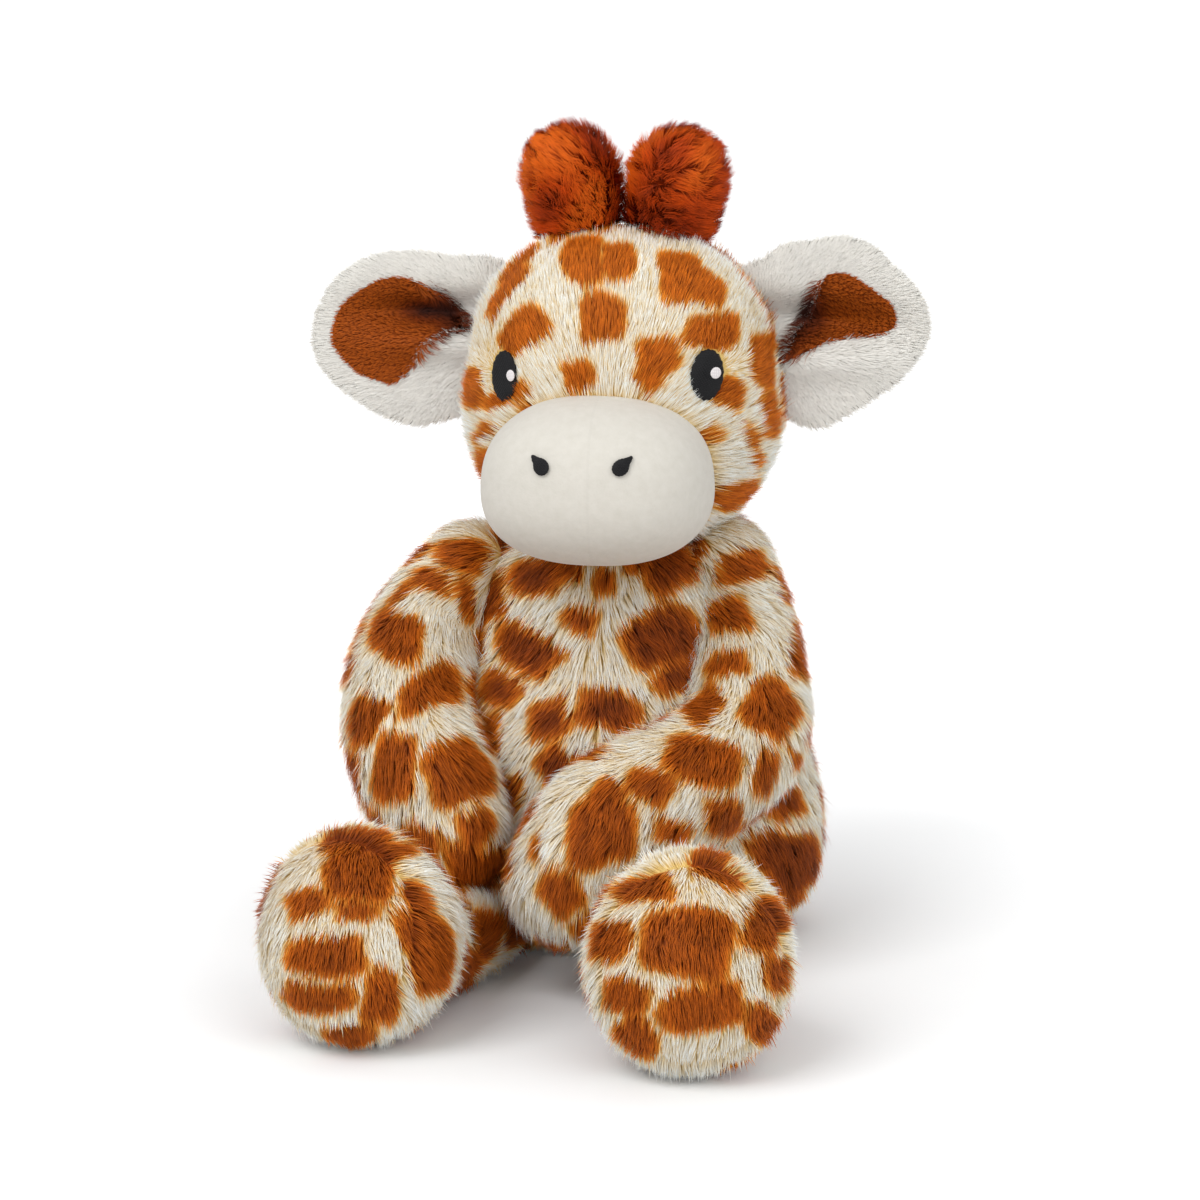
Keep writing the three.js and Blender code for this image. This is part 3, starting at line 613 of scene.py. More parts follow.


# Spots that the photograph shows: [pixel across, down, width, height, turn in degrees]
SEEN_SPOTS = {
    "head": [
        (582, 254, 46, 47, 0), (618, 258, 40, 40, 0), (602, 315, 51, 51, 0), (683, 272, 50, 54, 5),
        (704, 284, 50, 38, -30), (716, 329, 56, 38, 0), (659, 356, 48, 42, 10), (650, 378, 30, 28, 25),
        (578, 374, 36, 32, 15), (504, 289, 74, 14, 50), (521, 328, 62, 36, 40), (464, 388, 24, 46, 10),
        (503, 396, 52, 20, 25), (733, 393, 30, 33, -25), (767, 360, 24, 60, 0), (768, 415, 20, 50, 0),
        (715, 432, 22, 18, -30), (752, 447, 14, 48, 12), (737, 492, 52, 26, 25), (467, 474, 22, 42, -10),
        (484, 432, 14, 30, -30), (508, 252, 64, 13, 48), (716, 250, 60, 14, -38), (752, 290, 56, 12, -60),
        (771, 330, 40, 12, -75), (474, 505, 30, 20, -40),
    ],
    "arm_right": [
        (459, 554, 54, 38, -5), (427, 580, 48, 24, -15), (392, 633, 60, 52, -15), (436, 687, 70, 42, 12),
        (361, 722, 32, 58, -20), (391, 770, 48, 74, -5), (465, 771, 70, 72, 25), (479, 829, 46, 38, 25),
        (414, 847, 52, 40, -30), (485, 876, 68, 36, 15), (345, 670, 14, 34, 0), (384, 576, 34, 12, 45),
        (466, 600, 20, 50, 8),
    ],
    "body": [
        (524, 651, 72, 44, -35), (579, 622, 38, 32, -20), (497, 690, 46, 36, -25), (547, 722, 46, 42, 15),
        (608, 712, 68, 44, -15), (665, 639, 84, 62, 20), (680, 679, 54, 34, 25), (558, 772, 46, 52, 40),
        (484, 742, 30, 60, 0), (532, 577, 60, 40, 0), (604, 583, 24, 34, 0), (567, 572, 34, 26, 0),
        (470, 640, 26, 50, 0), (672, 566, 64, 54, 20), (484, 597, 34, 58, 0), (640, 566, 34, 22, 0),
        (790, 806, 38, 34, 20), (797, 865, 64, 62, 20), (823, 800, 10, 28, 0), (808, 914, 26, 18, 15),
        (775, 800, 20, 40, 0), (560, 850, 40, 40, 20), (590, 930, 46, 40, 0), (540, 930, 34, 36, 0),
    ],
    "arm_left": [
        (747, 567, 58, 32, 12), (730, 617, 46, 38, 15), (724, 663, 48, 28, 10), (699, 702, 46, 30, 35),
        (775, 709, 66, 54, -35), (803, 650, 18, 66, 0), (704, 759, 82, 54, -20), (650, 786, 54, 36, -25),
        (601, 834, 74, 76, 5), (606, 797, 36, 40, 60), (727, 823, 42, 44, 0), (673, 834, 40, 26, -15),
        (560, 896, 46, 52, 40), (767, 777, 24, 50, -15), (798, 763, 14, 24, 0), (532, 850, 10, 28, 0),
    ],
    "leg_right": [
        (361, 868, 80, 56, -5), (356, 832, 84, 26, 0), (400, 850, 44, 18, 20), (303, 903, 46, 30, 20),
        (357, 912, 44, 20, 0), (322, 960, 82, 44, 0), (313, 1004, 74, 30, -8), (383, 1003, 36, 54, -10),
        (349, 1041, 54, 18, -5), (437, 956, 48, 88, 8), (422, 900, 24, 40, 20), (419, 1030, 36, 42, 0),
        (472, 988, 46, 74, -30), (490, 934, 32, 54, 0), (524, 924, 34, 50, 0),
    ],
    "leg_left": [
        (688, 942, 102, 72, -10), (712, 850, 44, 16, 0), (638, 884, 60, 28, 18), (722, 865, 58, 26, -25),
        (603, 942, 40, 42, 0), (620, 1000, 50, 34, -10), (634, 1043, 50, 34, -40), (704, 1014, 88, 48, 10),
        (776, 922, 38, 58, -25), (783, 977, 24, 40, 0), (768, 1030, 32, 36, -35), (718, 1077, 44, 14, 0),
    ],
}

# Spots elsewhere: rounds of [tries, half width, half height], and how close they come to the others
SPARE_SPOTS = [(260, 12.5, 9.5), (500, 9.5, 8), (900, 7, 5.6), (900, 4.6, 3.6)]
SPARE_DENSITY, SPARE_SIZES = .2, (.88, 1.12)
SPOT_GAP, SPOT_CROWD = 3.0, .93
OFF_SKIN = 4
NO_SPOT, SPOT_REACH, EDGE_REACH = -20.0, 2.4, 3

# The cosine to the camera below which a place on the skin counts as unseen
UNSEEN_SLOPES = {"body": .2, "arm": .2, "leg": -.1, "head": -.05}


def kind_of(name):
    """The sort of form: arm for arm_right."""
    return name.split("_")[0]


def hidden(name, place, normal):
    """Whether the photograph's camera doesn't see the place on the form."""
    towards = unit(VIEW_FROM - place)
    if normal @ towards < UNSEEN_SLOPES[kind_of(name)]:
        return True
    start = Vector(place + OFF_SKIN * normal)
    return any(tree.ray_cast(start, Vector(towards))[0] is not None
               for other, tree in trees.items() if other != name)


def spots_of(name):
    """The spots seen in the photograph, then more where it doesn't look, no two closer than their sizes and a
    gap allow."""
    draw = np.random.default_rng(SEED + sum(map(ord, name)))
    made = [Spot(*place_seen(name, x, y), (w / 2, h / 2), angle, Spot.slanted, draw)
            for x, y, w, h, angle in SEEN_SPOTS[name]]
    skin = Skin(forms[name], "spare")
    for tries, wide, high in SPARE_SPOTS:
        places, normals = skin.sow(SPARE_DENSITY, draw)
        for pick in draw.permutation(len(places))[:tries]:
            place, normal = places[pick], normals[pick]
            halves = np.array((wide, high)) * draw.uniform(*SPARE_SIZES)
            room = SPOT_CROWD * (np.array([s.size for s in made]) + halves.mean()) + SPOT_GAP
            gaps = np.linalg.norm(np.array([s.place for s in made]) - place, axis=1)
            if (gaps > room).all() and hidden(name, place, normal):
                made.append(Spot(place, normal, halves, draw.uniform(0, 180), None, draw))
    return made


def spot_depth(points, spots):
    """Millimetres inside the deepest spot at each point, only the spots near it being asked."""
    depth = np.full(len(points), NO_SPOT)
    for spot in spots:
        near = np.linalg.norm(points - spot.place, axis=1) < SPOT_REACH * spot.size + EDGE_REACH
        depth[near] = np.maximum(depth[near], spot.depth(points[near]))
    return depth


def colour_by(spots, margin, deepest, seed, edge=2.8, fray=.35):
    """A function from points to the share of brown: a half at a spot's outline, all cream over the edge's
    width outside it and all brown over three times that inside, each hair a little off."""
    def share(points):
        off = np.random.default_rng(SEED + seed).normal(0, fray, len(points))
        depth = spot_depth(points, spots) + margin + off
        return np.clip(.5 + np.where(depth < 0, depth, depth / 3) / edge, 0, deepest)
    return share


# Finishes

class Socket:
    """A node's output that arithmetic can be written with; each operator adds its Math node."""

    def __init__(self, finish, socket):
        self.finish, self.socket = finish, socket

    def maths(self, operation, *values):
        return self.finish.node("ShaderNodeMath", {"operation": operation}, dict(enumerate(values)))

    def __add__(self, other):
        return self.maths("ADD", self, other)

    def __sub__(self, other):
        return self.maths("SUBTRACT", self, other)

    def __rsub__(self, other):
        return self.maths("SUBTRACT", other, self)

    def __mul__(self, other):
        return self.maths("MULTIPLY", self, other)

    def __lt__(self, other):
        return self.maths("LESS_THAN", self, other)

    def __gt__(self, other):
        return self.maths("GREATER_THAN", self, other)

    def __abs__(self):
        return self.maths("ABSOLUTE", self)

    __radd__, __rmul__ = __add__, __mul__


class Finish:
    """The nodes of a material or of the world, the shader that they feed, and the slot of its pieces."""

    def __init__(self, owner, slot=None, shader="Principled BSDF", **constants):
        owner.use_nodes = True
        self.owner, self.slot, self.tree = owner, slot, owner.node_tree
        self.shader = self.tree.nodes[shader]
        for socket, value in constants.items():
            self.shader.inputs[socket.replace("_", " ")].default_value = value

    def node(self, kind, settings=None, inputs=None, output=0):
        """Any node: its settings first, a ramp's stops of [place, colour] among them, then the values or
        links of its sockets."""
        made = self.tree.nodes.new(kind)
        for name, value in (settings or {}).items():
            if name == "stops":
                elements = made.color_ramp.elements
                while len(elements) < len(value):
                    elements.new(1.0)
                for element, (place, colour) in zip(elements, value):
                    element.position, element.color = place, colour
            else:
                setattr(made, name, value)
        for name, value in (inputs or {}).items():
            if isinstance(value, Socket):
                self.tree.links.new(value.socket, made.inputs[name])
            else:
                made.inputs[name].default_value = value
        return Socket(self, made.outputs[output])

    def feed(self, name, value):
        self.tree.links.new(value.socket, self.shader.inputs[name])

    def attribute(self, name):
        return self.node("ShaderNodeAttribute", {"attribute_name": name}, output="Fac")

    def object_place(self):
        return self.node("ShaderNodeTexCoord", output="Object")

    def camera_ray(self):
        return self.node("ShaderNodeLightPath", output="Is Camera Ray")

    def noise(self, scale, detail=2.0, roughness=.5):
        return self.node("ShaderNodeTexNoise", None, {"Vector": self.object_place(), "Scale": scale,
                                                      "Detail": detail, "Roughness": roughness})

    def ramp(self, value, stops):
        return self.node("ShaderNodeValToRGB", {"stops": stops}, {0: value})

    def scaled(self, colour, value):
        return self.node("ShaderNodeVectorMath", {"operation": "SCALE"}, {0: colour, "Scale": value})

    def mixed(self, share, first, second):
        colours = {"Factor": share, 6: first, 7: second}
        return self.node("ShaderNodeMix", {"data_type": "RGBA"}, colours, output=2)

    def bump(self, height, strength, distance):
        self.feed("Normal", self.node("ShaderNodeBump", None, {
            "Strength": strength, "Distance": distance * METRES, "Height": height}))


def new_finish(name, slot=None, **constants):
    """The finish of a new material."""
    return Finish(bpy.data.materials.new(name), slot, **constants)


def srgb(red, green, blue):
    """A screen colour, 0 to 255, as the light it stands for."""
    values = np.array((red, green, blue)) / 255
    linear = np.where(values <= .04045, values / 12.92, ((values + .055) / 1.055) ** 2.4)
    return (*linear.tolist(), 1.0)


def stops(*rows):
    """Ramp stops of [place, red, green, blue]."""
    return [(place, srgb(*colour)) for place, *colour in rows]


def pile_finish(name, tips, roots, spread):
    """Hair: colours for its tip and its root by how deep in a spot it stands, mixed along it, the root
    colours darker and warmer as painted shade deep in the pile; hair by hair lighter or darker, brown hairs
    by the spread more, and a darker hair carries the painted shade of its root colour further along."""
    finish = new_finish(f"{name} pile", name.replace(" ", "_"), Roughness=.6, Specular_IOR_Level=.14)
    spot, shade = finish.attribute("spot"), finish.attribute("shade")
    # darker hairs take the root colour's painted shade further up the hair
    reach = finish.attribute("along") * 1.45 - (1 - shade) * .42
    along = finish.node("ShaderNodeClamp", None, {"Value": reach})
    colour = finish.mixed(along, finish.ramp(spot, roots), finish.ramp(spot, tips))
    finish.feed("Base Color", finish.scaled(colour, (shade - .5) * (spot * spread + .14) + 1))
    return finish


def backing_finish(name, roots, painted_shade_tint):
    """The dense foot of the pile: the pile's root colours, dimmed by the tint as painted shade under the
    hairs, with a fine uneven nap.
    """
    finish = new_finish(f"{name} backing", name.replace(" ", "_"), Roughness=.9, Specular_IOR_Level=.1)
    grain = finish.noise(900, 3)
    colour = finish.ramp(finish.attribute("spot"), roots)
    finish.feed("Base Color", finish.scaled(colour, grain * .5 + (painted_shade_tint - .25)))
    finish.bump(grain, .6, .8)
    return finish


def velour_finish():
    """Short dense velour: brushed patches of pale grey, a fine nap and the faint dip of a centre seam."""
    finish = new_finish("muzzle velour", "muzzle_velour", Roughness=.85, Specular_IOR_Level=.15,
                        Sheen_Weight=.25, Sheen_Roughness=.4)
    nap, brushed = finish.noise(1500, 2), finish.noise(330, 4, .65)
    colour = finish.ramp(brushed, stops((.3, 211, 207, 197), (.7, 218, 214, 205)))
    x = finish.node("ShaderNodeSeparateXYZ", None, {0: finish.object_place()})
    seam = abs(x - SEAM_X * METRES) < SEAM_HALF * METRES
    finish.feed("Base Color", finish.scaled(colour, 1 - seam * .02))
    finish.bump(nap * .4 + brushed * .7 - seam * .5, .35, .5)
    return finish


def thread_finish(name, colour, pale):
    """Satin stitches: a soft gloss over fine parallel threads, each band of threads paler as a painted sheen.
    """
    finish = new_finish(name, name.replace(" ", "_"), Roughness=.5, Specular_IOR_Level=.25)
    strands = finish.node("ShaderNodeTexWave", {"bands_direction": "Z"}, {
        "Vector": finish.object_place(), "Scale": 700, "Distortion": 3.0, "Detail": 2.0})
    finish.feed("Base Color", finish.mixed(strands, colour, pale))
    finish.bump(strands, .5, .15)
    return finish


def fibre_finish(name, slot, colour, scale):
    """Loose white fibre, or the pellets' woven bag: uneven light and dark at a small scale."""
    finish = new_finish(name, slot, Roughness=.95, Specular_IOR_Level=.1, Sheen_Weight=.2)
    strands = finish.noise(scale, 6, .7)
    pale = finish.ramp(strands, [(.3, colour), (.7, srgb(250, 250, 248))])
    finish.feed("Base Color", finish.scaled(pale, strands * .3 + .8))
    finish.bump(strands, .8, 1.5)
    return finish


# Plush: colours at the tips and at the roots, by the share of brown, the roots darker as painted shade deep
# in the pile; the spread; and the backing's tint, a painted shade under the hairs
WHITE = stops((0, 246, 244, 238), (1, 246, 244, 238))
PLUSH = {
    "spotted plush": (
        stops((0, 249, 253, 251), (.28, 250, 246, 226), (.4, 250, 222, 156), (.48, 246, 182, 78),
              (.57, 230, 136, 36), (.75, 214, 108, 20), (1, 160, 72, 10)),
        stops((0, 240, 206, 130), (.35, 234, 184, 96), (.5, 208, 120, 36), (.62, 172, 80, 14),
              (.8, 134, 56, 6), (1, 96, 38, 4)), .55, .85),
    "white plush": (WHITE, WHITE, .03, .98),
    "rust plush": (
        stops((0, 238, 112, 24), (.5, 212, 78, 8), (1, 172, 54, 5)),
        stops((0, 192, 70, 8), (.5, 160, 50, 4), (1, 116, 34, 3)), .7, .8),
    # brown velour runs from the lining's lit colour to the painted shade of its fold
    "brown velour": (
        stops((0, 200, 98, 22), (.5, 142, 60, 16), (1, 58, 28, 22)),
        stops((0, 150, 68, 16), (.5, 100, 42, 12), (1, 46, 22, 18)), .25, .9),
}
SEAM_X, SEAM_HALF = HEAD_SHIFT - 2, .4

piles, backings = {}, {}
for name, (tips, roots, spread, painted_shade_tint) in PLUSH.items():
    piles[name] = pile_finish(name, tips, roots, spread)
    backings[name] = backing_finish(name, roots, painted_shade_tint)
muzzle_velour = velour_finish()
# the pale colours of the threads are a painted sheen along the stitches
black_thread = thread_finish("black thread", srgb(12, 12, 14), srgb(26, 26, 29))
white_thread = thread_finish("white thread", srgb(222, 214, 214), srgb(242, 238, 238))
fibre = fibre_finish("polyester fibre", "fibre_filling", srgb(226, 226, 220), 240)
pellets = fibre_finish("woven pellet bag", "pellet_bag", srgb(205, 200, 188), 420)


# Making pieces

def add_piece(name, points, faces, finish, rides, stands_for=(), values=None, normals=None, cells=None):
    """A mesh of the points and lists of equally cornered faces, with its attributes, as one piece."""
    mesh = bpy.data.meshes.new(name)
    mesh.vertices.add(len(points))
    mesh.vertices.foreach_set("co", (points * METRES).astype(np.float32).ravel())
    corners = np.concatenate([f.ravel() for f in faces]).astype(np.int32)
    sizes = np.concatenate([np.full(len(f), f.shape[1]) for f in faces])
    mesh.loops.add(len(corners))
    mesh.loops.foreach_set("vertex_index", corners)
    mesh.polygons.add(len(sizes))
    mesh.polygons.foreach_set("loop_start", (np.cumsum(sizes) - sizes).astype(np.int32))
    mesh.update(calc_edges=True)
    mesh.polygons.foreach_set("use_smooth", np.ones(len(sizes), bool))
    for label, each in (values or {}).items():
        mesh.attributes.new(label, "FLOAT", "POINT").data.foreach_set("value", each.astype(np.float32))
    if cells is not None:
        mesh.uv_layers.new(name="OFBake").uv.foreach_set("vector", cells[corners].astype(np.float32).ravel())
    if normals is not None:
        mesh.normals_split_custom_set_from_vertices(normals.astype(np.float32))
    mesh.materials.append(finish.owner)
    made = bpy.data.objects.new(name, mesh)
    bpy.context.scene.collection.objects.link(made)
    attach(made, rides)
    if stands_for:
        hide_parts(*stands_for)
    return made


def add_skin(name, skin, finish, rides, node, **values):
    """A closed skin as the piece that a node of the frame is seen as."""
    values = {label: np.broadcast_to(each, len(skin.points)) for label, each in values.items()}
    return add_piece(name, skin.points, [skin.quads, skin.caps], finish, rides, [node], values)


# A hair: where its knots lie along it, its width at root and bend, its faces, the knot of each corner, how
# far towards a knot its colour is read, how much it twists, and how high it lies at least
HAIR_KNOTS = np.array((0, .45, 1))
HAIR_WIDTH_SHARES = np.array((1, .8))
HAIR_FACES = np.array([(0, 1, 3), (0, 3, 2), (2, 3, 4)])
CORNER_KNOTS = [0, 0, 1, 1, 2]
DYED_ALONG_SHARE = .45
TWIST, LOWEST_HAIR = .12, .3
TUFT_SHADE_SHARE = .35
THINNED = 1.0

# How hairs stray from their comb, in lengths of the comb, and in tilt and length: by tuft and by hair
WANDER_WAVELENGTH, WAVE_WANDER, TUFT_WANDER, HAIR_WANDER = 26, .9, .45, .35
TUFT_LENGTH_SHARES, HAIR_LENGTH_SHARES = (.9, 1.08), (.75, 1.1)
TUFT_TILT, HAIR_TILT = .05, .08
UPRIGHT_SHARE, UPRIGHT_TILT = .05, .45

# Tufts: the wavelength and depth of the waves that bend their grid, in cells, and factors that number them
CELL_WAVELENGTH, CELL_WAVES = 3.3, .55
CELL_FACTORS = 73856093, 19349663, 83492791


def tufts_of(points, size, seed):
    """The number of the cell that each point falls in, of a grid of that size bent by soft waves."""
    waves = ripples(points, size * CELL_WAVELENGTH, seed)
    cells = np.floor(points / size + CELL_WAVES * waves).astype(np.int64)
    return np.unique((cells * CELL_FACTORS).sum(1), return_inverse=True)[1]


def hair_lines(roots, normals, comb, length, lean, stray, tuft, pull, draw, seed):
    """The root, bend and tip of each hair. It leaves its root at the first lean from the skin's normal and
    bends to the second, the way it is combed; slow waves, its tuft's own stray way and length and its own
    join in; bend and tip are drawn to the tuft's mean tip by the square of their share of the length."""
    count = len(roots)
    cell = tufts_of(roots, tuft, seed)
    cells = cell.max() + 1
    waves = ripples(roots, WANDER_WAVELENGTH, seed)
    wander = (TUFT_WANDER * draw.normal(size=(cells, 3))[cell] + HAIR_WANDER * draw.normal(size=(count, 3))
              + WAVE_WANDER * waves)
    comb = unit(flattened(unit(flattened(comb, normals)) + stray * wander, normals))
    length = length * draw.uniform(*TUFT_LENGTH_SHARES, cells)[cell]
    length = length * draw.uniform(*HAIR_LENGTH_SHARES, count)
    tilt = draw.normal(0, TUFT_TILT, cells)[cell] + draw.normal(0, HAIR_TILT, count)
    tilt -= UPRIGHT_TILT * (draw.random(count) < UPRIGHT_SHARE)
    line = [roots]
    for part, angle in zip(np.diff(HAIR_KNOTS), lean):
        angle = np.radians(angle) + tilt
        step = normals * np.cos(angle)[:, None] + comb * np.sin(angle)[:, None]
        line.append(line[-1] + step * (length * part)[:, None])
    line = np.stack(line, 1)
    sums = np.stack([np.bincount(cell, line[:, -1, axis], cells) for axis in range(3)], -1)
    middle = (sums / np.bincount(cell, minlength=cells)[:, None])[cell]
    pull = np.broadcast_to(pull, count)[:, None, None]
    line += (middle - line[:, -1])[:, None] * pull * (HAIR_KNOTS ** 2)[None, :, None]
    line[..., 2] = np.maximum(line[..., 2], LOWEST_HAIR)
    return line, comb, cell


def bake_cells(count):
    """A square of the bake's map for each hair, its width and length drawn a little in from the edges."""
    side = math.ceil(math.sqrt(count))
    corner = np.stack([np.arange(count) % side, np.arange(count) // side], -1)[:, None]
    in_cell = np.stack([(.15, .85, .15, .85, .5), .12 + .76 * HAIR_KNOTS[CORNER_KNOTS]], -1)
    return ((corner + in_cell) / side).reshape(-1, 2)


def add_pile(name, roots, normals, comb, finish, rides, spot, length, lean, stray, pull, seed, tuft=4.0,
             width=.29, bend=.55, fray=0.0):
    """Hairs as flat blades that face out of the skin, each a little twisted and tapering to a point, their
    normals by the share bend the skin's. spot gives the place in the colours, read near the middle of the far
    half and partly towards each knot."""
    draw = np.random.default_rng(SEED + seed)
    line, comb, cell = hair_lines(roots, normals, comb, length, lean, stray, tuft, pull, draw, SEED + seed)
    count, corners = len(roots), len(CORNER_KNOTS)
    tangents = unit(np.diff(line, axis=1))
    across = unit(np.cross(comb, normals))[:, None]
    twist = draw.normal(0, TWIST, count)[:, None, None]
    across = across * np.cos(twist) + np.cross(across, tangents) * np.sin(twist)
    reach = across * (HAIR_WIDTH_SHARES * width / 2 / math.sqrt(THINNED))[None, :, None]
    pairs = np.stack([line[:, :2] - reach, line[:, :2] + reach], 2).reshape(count, 4, 3)
    points = np.concatenate([pairs, line[:, 2:]], 1)
    bent = unit(bend * normals[:, None] + (1 - bend) * unit(np.cross(across, tangents)))
    shade = draw.uniform(0, 1, cell.max() + 1)[cell] * TUFT_SHADE_SHARE
    shade += draw.uniform(0, 1, count) * (1 - TUFT_SHADE_SHARE)
    shift = comb * draw.normal(0, fray, count)[:, None]
    middle = line[:, 1:].mean(axis=1)
    places = [middle + shift + DYED_ALONG_SHARE * (line[:, knot] - middle) for knot in range(3)]
    brown = np.stack([spot(place) for place in places], -1)
    values = {"spot": brown[:, CORNER_KNOTS].ravel(), "shade": np.repeat(shade, corners),
              "along": np.tile(HAIR_KNOTS[CORNER_KNOTS], count)}
    faces = (HAIR_FACES + corners * np.arange(count)[:, None, None]).reshape(-1, 3)
    return add_piece(name, points.reshape(-1, 3), [faces], finish, rides, (), values,
                     bent[:, np.minimum(CORNER_KNOTS, 1)].reshape(-1, 3), bake_cells(count))


def clear_of(points, names, clearance):
    """Which points lie in none of the forms, each form grown by the clearance."""
    free = np.ones(len(points), bool)
    for name in names:
        free &= ~forms[name].within(points, clearance)
    return free


def body_of(name):
    """The moving body that carries a form: right_arm for arm_right."""
    kind, _, side = name.partition("_")
    return f"{side}_{kind}" if side else {"body": "torso", "muzzle": "head"}.get(kind, kind)


def node_of(name, role):
    """A form's node of the frame in a role: arm_cover_right for the cover of arm_right."""
    kind, _, side = name.partition("_")
    return "_".join(filter(None, (kind, role, side)))


# The face: places and half sizes from the middle of the head or the muzzle, and a nostril's line by turns
EYES = {"right": (-30.2, 6.4), "left": (31.0, 8.1)}
EYE_HALVES, HIGHLIGHT_HALVES, HIGHLIGHT_SHIFT = (4.4, 7.5), (1.4, 1.7), (2.6, .6)
NOSTRILS = {"right": (-11.2, 8.2), "left": (12.4, 8.6)}
NOSTRIL_HALVES = (2.8, 2.7)
DROP = [(0, .8), (22, .95), (45, 1.5), (68, 1.0), (110, .82), (160, .86), (205, .98), (250, 1.0), (300, .88)]
EYE_LAYERS, HIGHLIGHT_LAYERS, NOSTRIL_LAYERS = (-2.7, -.3, .9), (.1, .65, .3), (-1.2, .1, .5)
EYE_THREADS, HIGHLIGHT_THREADS, NOSTRIL_THREADS = (.09, .62, .5), (.07, .5, 0), (.08, .55, .8)


def eye_nearness(points):
    """How near each point is to an eye: the least radius in half sizes of the eyes; far off at the rear."""
    local = head.local(points)
    radii = [np.hypot((local[:, 0] - x) / EYE_HALVES[0], (local[:, 2] - z) / EYE_HALVES[1])
             for x, z in EYES.values()]
    return np.where(local[:, 1] < 0, np.minimum(*radii), 9)


# The combs: the way the pile is brushed at each root, and the pixels that the feet's pile spreads from
DOWN = np.array((0, 0, -1.0))
CHEST_ASIDE, CHEST_PARTING = np.array((.45, 0, 0)), 9
REAR_OF_HEAD = np.array((0, .7, -1.0))
ROUND_EYE, OFF_EYE = 16, (.75, .65)
OFF_SHOULDER = np.array((1.6, .5, .6))
GATHERS = {"right": (325, 862), "left": (688, 882)}
RIM_DEPTH, RIM_WIDTH = -10, 3.2
BACK_PULL = .15


def comb_body(roots, normals):
    """Down, spreading from the middle of the chest and back."""
    aside = np.sign(roots[:, :1] + 1) * ease(np.abs(roots[:, :1]), 0, CHEST_PARTING)
    return DOWN + CHEST_ASIDE * aside


def at_rim(points):
    """1 along the seam over the crown between the face and the back of the head, 0 away from it."""
    local = head.local(points)
    return bell((local[:, 1] - RIM_DEPTH) / RIM_WIDTH) * ease(local[:, 2], 8, 26)


def cheek_of(points):
    """1 on the cheeks, 0 on the forehead and the back of the head."""
    local = head.local(points)
    return ease(10 - local[:, 2], 0, 22) * ease(14 - local[:, 1], 0, 16)


def comb_head(roots, normals):
    """Up and out from the muzzle over the face and the crown, down the back of the head, and out from each
    eye on its upper and outer side."""
    local = head.local(roots)
    rear = ease(local[:, 1:2], 4, 28)
    comb = unit(local - MUZZLE_PLACE) * (1 - rear) + REAR_OF_HEAD * rear
    for side, (x, z) in zip(SIDES.values(), EYES.values()):
        away = np.stack([local[:, 0] - x, np.zeros(len(local)), local[:, 2] - z], -1)
        near = bell((np.linalg.norm(away, axis=1) / ROUND_EYE) ** 2) * (local[:, 1] < 0)
        away = unit(away)
        near *= ease(away @ (side * OFF_EYE[0], 0, OFF_EYE[1]), .1, .8)
        comb = comb * (1 - near)[:, None] + away * near[:, None]
    return comb


def brushed_back(comb, normals):
    """The comb along the skin, its part towards the front taken away where the skin turns from there."""
    comb = unit(flattened(comb, normals))
    back = unit(flattened(np.array((0, 1.0, 0)), normals))
    ahead = np.maximum(-(comb * back).sum(-1, keepdims=True), 0)
    aside = 1 - ease(-normals[:, 1:2], .25, .75)
    return comb + back * (ahead + BACK_PULL) * aside


def comb_arm(name):
    """Along the arm and down, and away from the neck over the shoulder."""
    form, side = forms[name], (SIDES[name.partition("_")[2]], 1, 1)

    def comb(roots, normals):
        shoulder = 1 - ease(form.nearest(roots)[0], .05, .3)[:, None]
        return form.way(roots) + DOWN + OFF_SHOULDER * side * shoulder
    return comb


def comb_leg(name):
    """Along the leg, then out from the gather on top of the foot, and straight down the sole."""
    form, sole = forms[name], Sole(forms[name])
    gather = place_seen(name, *GATHERS[name.partition("_")[2]])[0]

    def comb(roots, normals):
        foot = ease(form.nearest(roots)[0], .5, .68)[:, None]
        along = brushed_back(form.way(roots) * (1 - foot) + unit(roots - gather) * foot, normals)
        return np.where(sole.covers(roots)[:, None], DOWN, along)
    return comb


# Covers by kind: how far the skin lies inside the form, the forms that hide it, how brown its spots get and
# how much they grow, and its pile, with the hairs on a square millimetre as the density
INSETS = {"body": 2.8, "head": 1.6, "arm": 2.8, "leg": 2.8}
HIDDEN_IN = {"body": ("head",), "head": ("muzzle", "body"), "arm": ("body",), "leg": ("body",)}
DEEPEST = {"body": 1.0, "head": .72, "arm": .86, "leg": .86}
MARGINS = {"body": .1, "head": -.25, "arm": .1, "leg": .5}
PILES = {
    "body": dict(length=8.8, density=2.8, lean=(60, 82), stray=.24, pull=.28, fray=.7),
    "head": dict(length=6.0, density=4.3, stray=.1, tuft=2.6, width=.25, bend=.6, fray=.6),
    "arm": dict(length=8.6, density=3.1, lean=(60, 82), stray=.22, pull=.26, fray=.7),
    "leg": dict(length=8.0, density=3.1, lean=(58, 80), stray=.24, pull=.26, fray=.7),
}
SOLE_LENGTH, SOLE_PULL = 5.6, .12
HIDDEN_DEPTH = 3
FLOOR_CLEARANCE, HAIR_CLEARANCE = .8, 1.2
COMBS = {"body": comb_body, "head": comb_head}
COMBS.update({name: comb_arm(name) for name in ("arm_right", "arm_left")})
COMBS.update({name: comb_leg(name) for name in ("leg_right", "leg_left")})


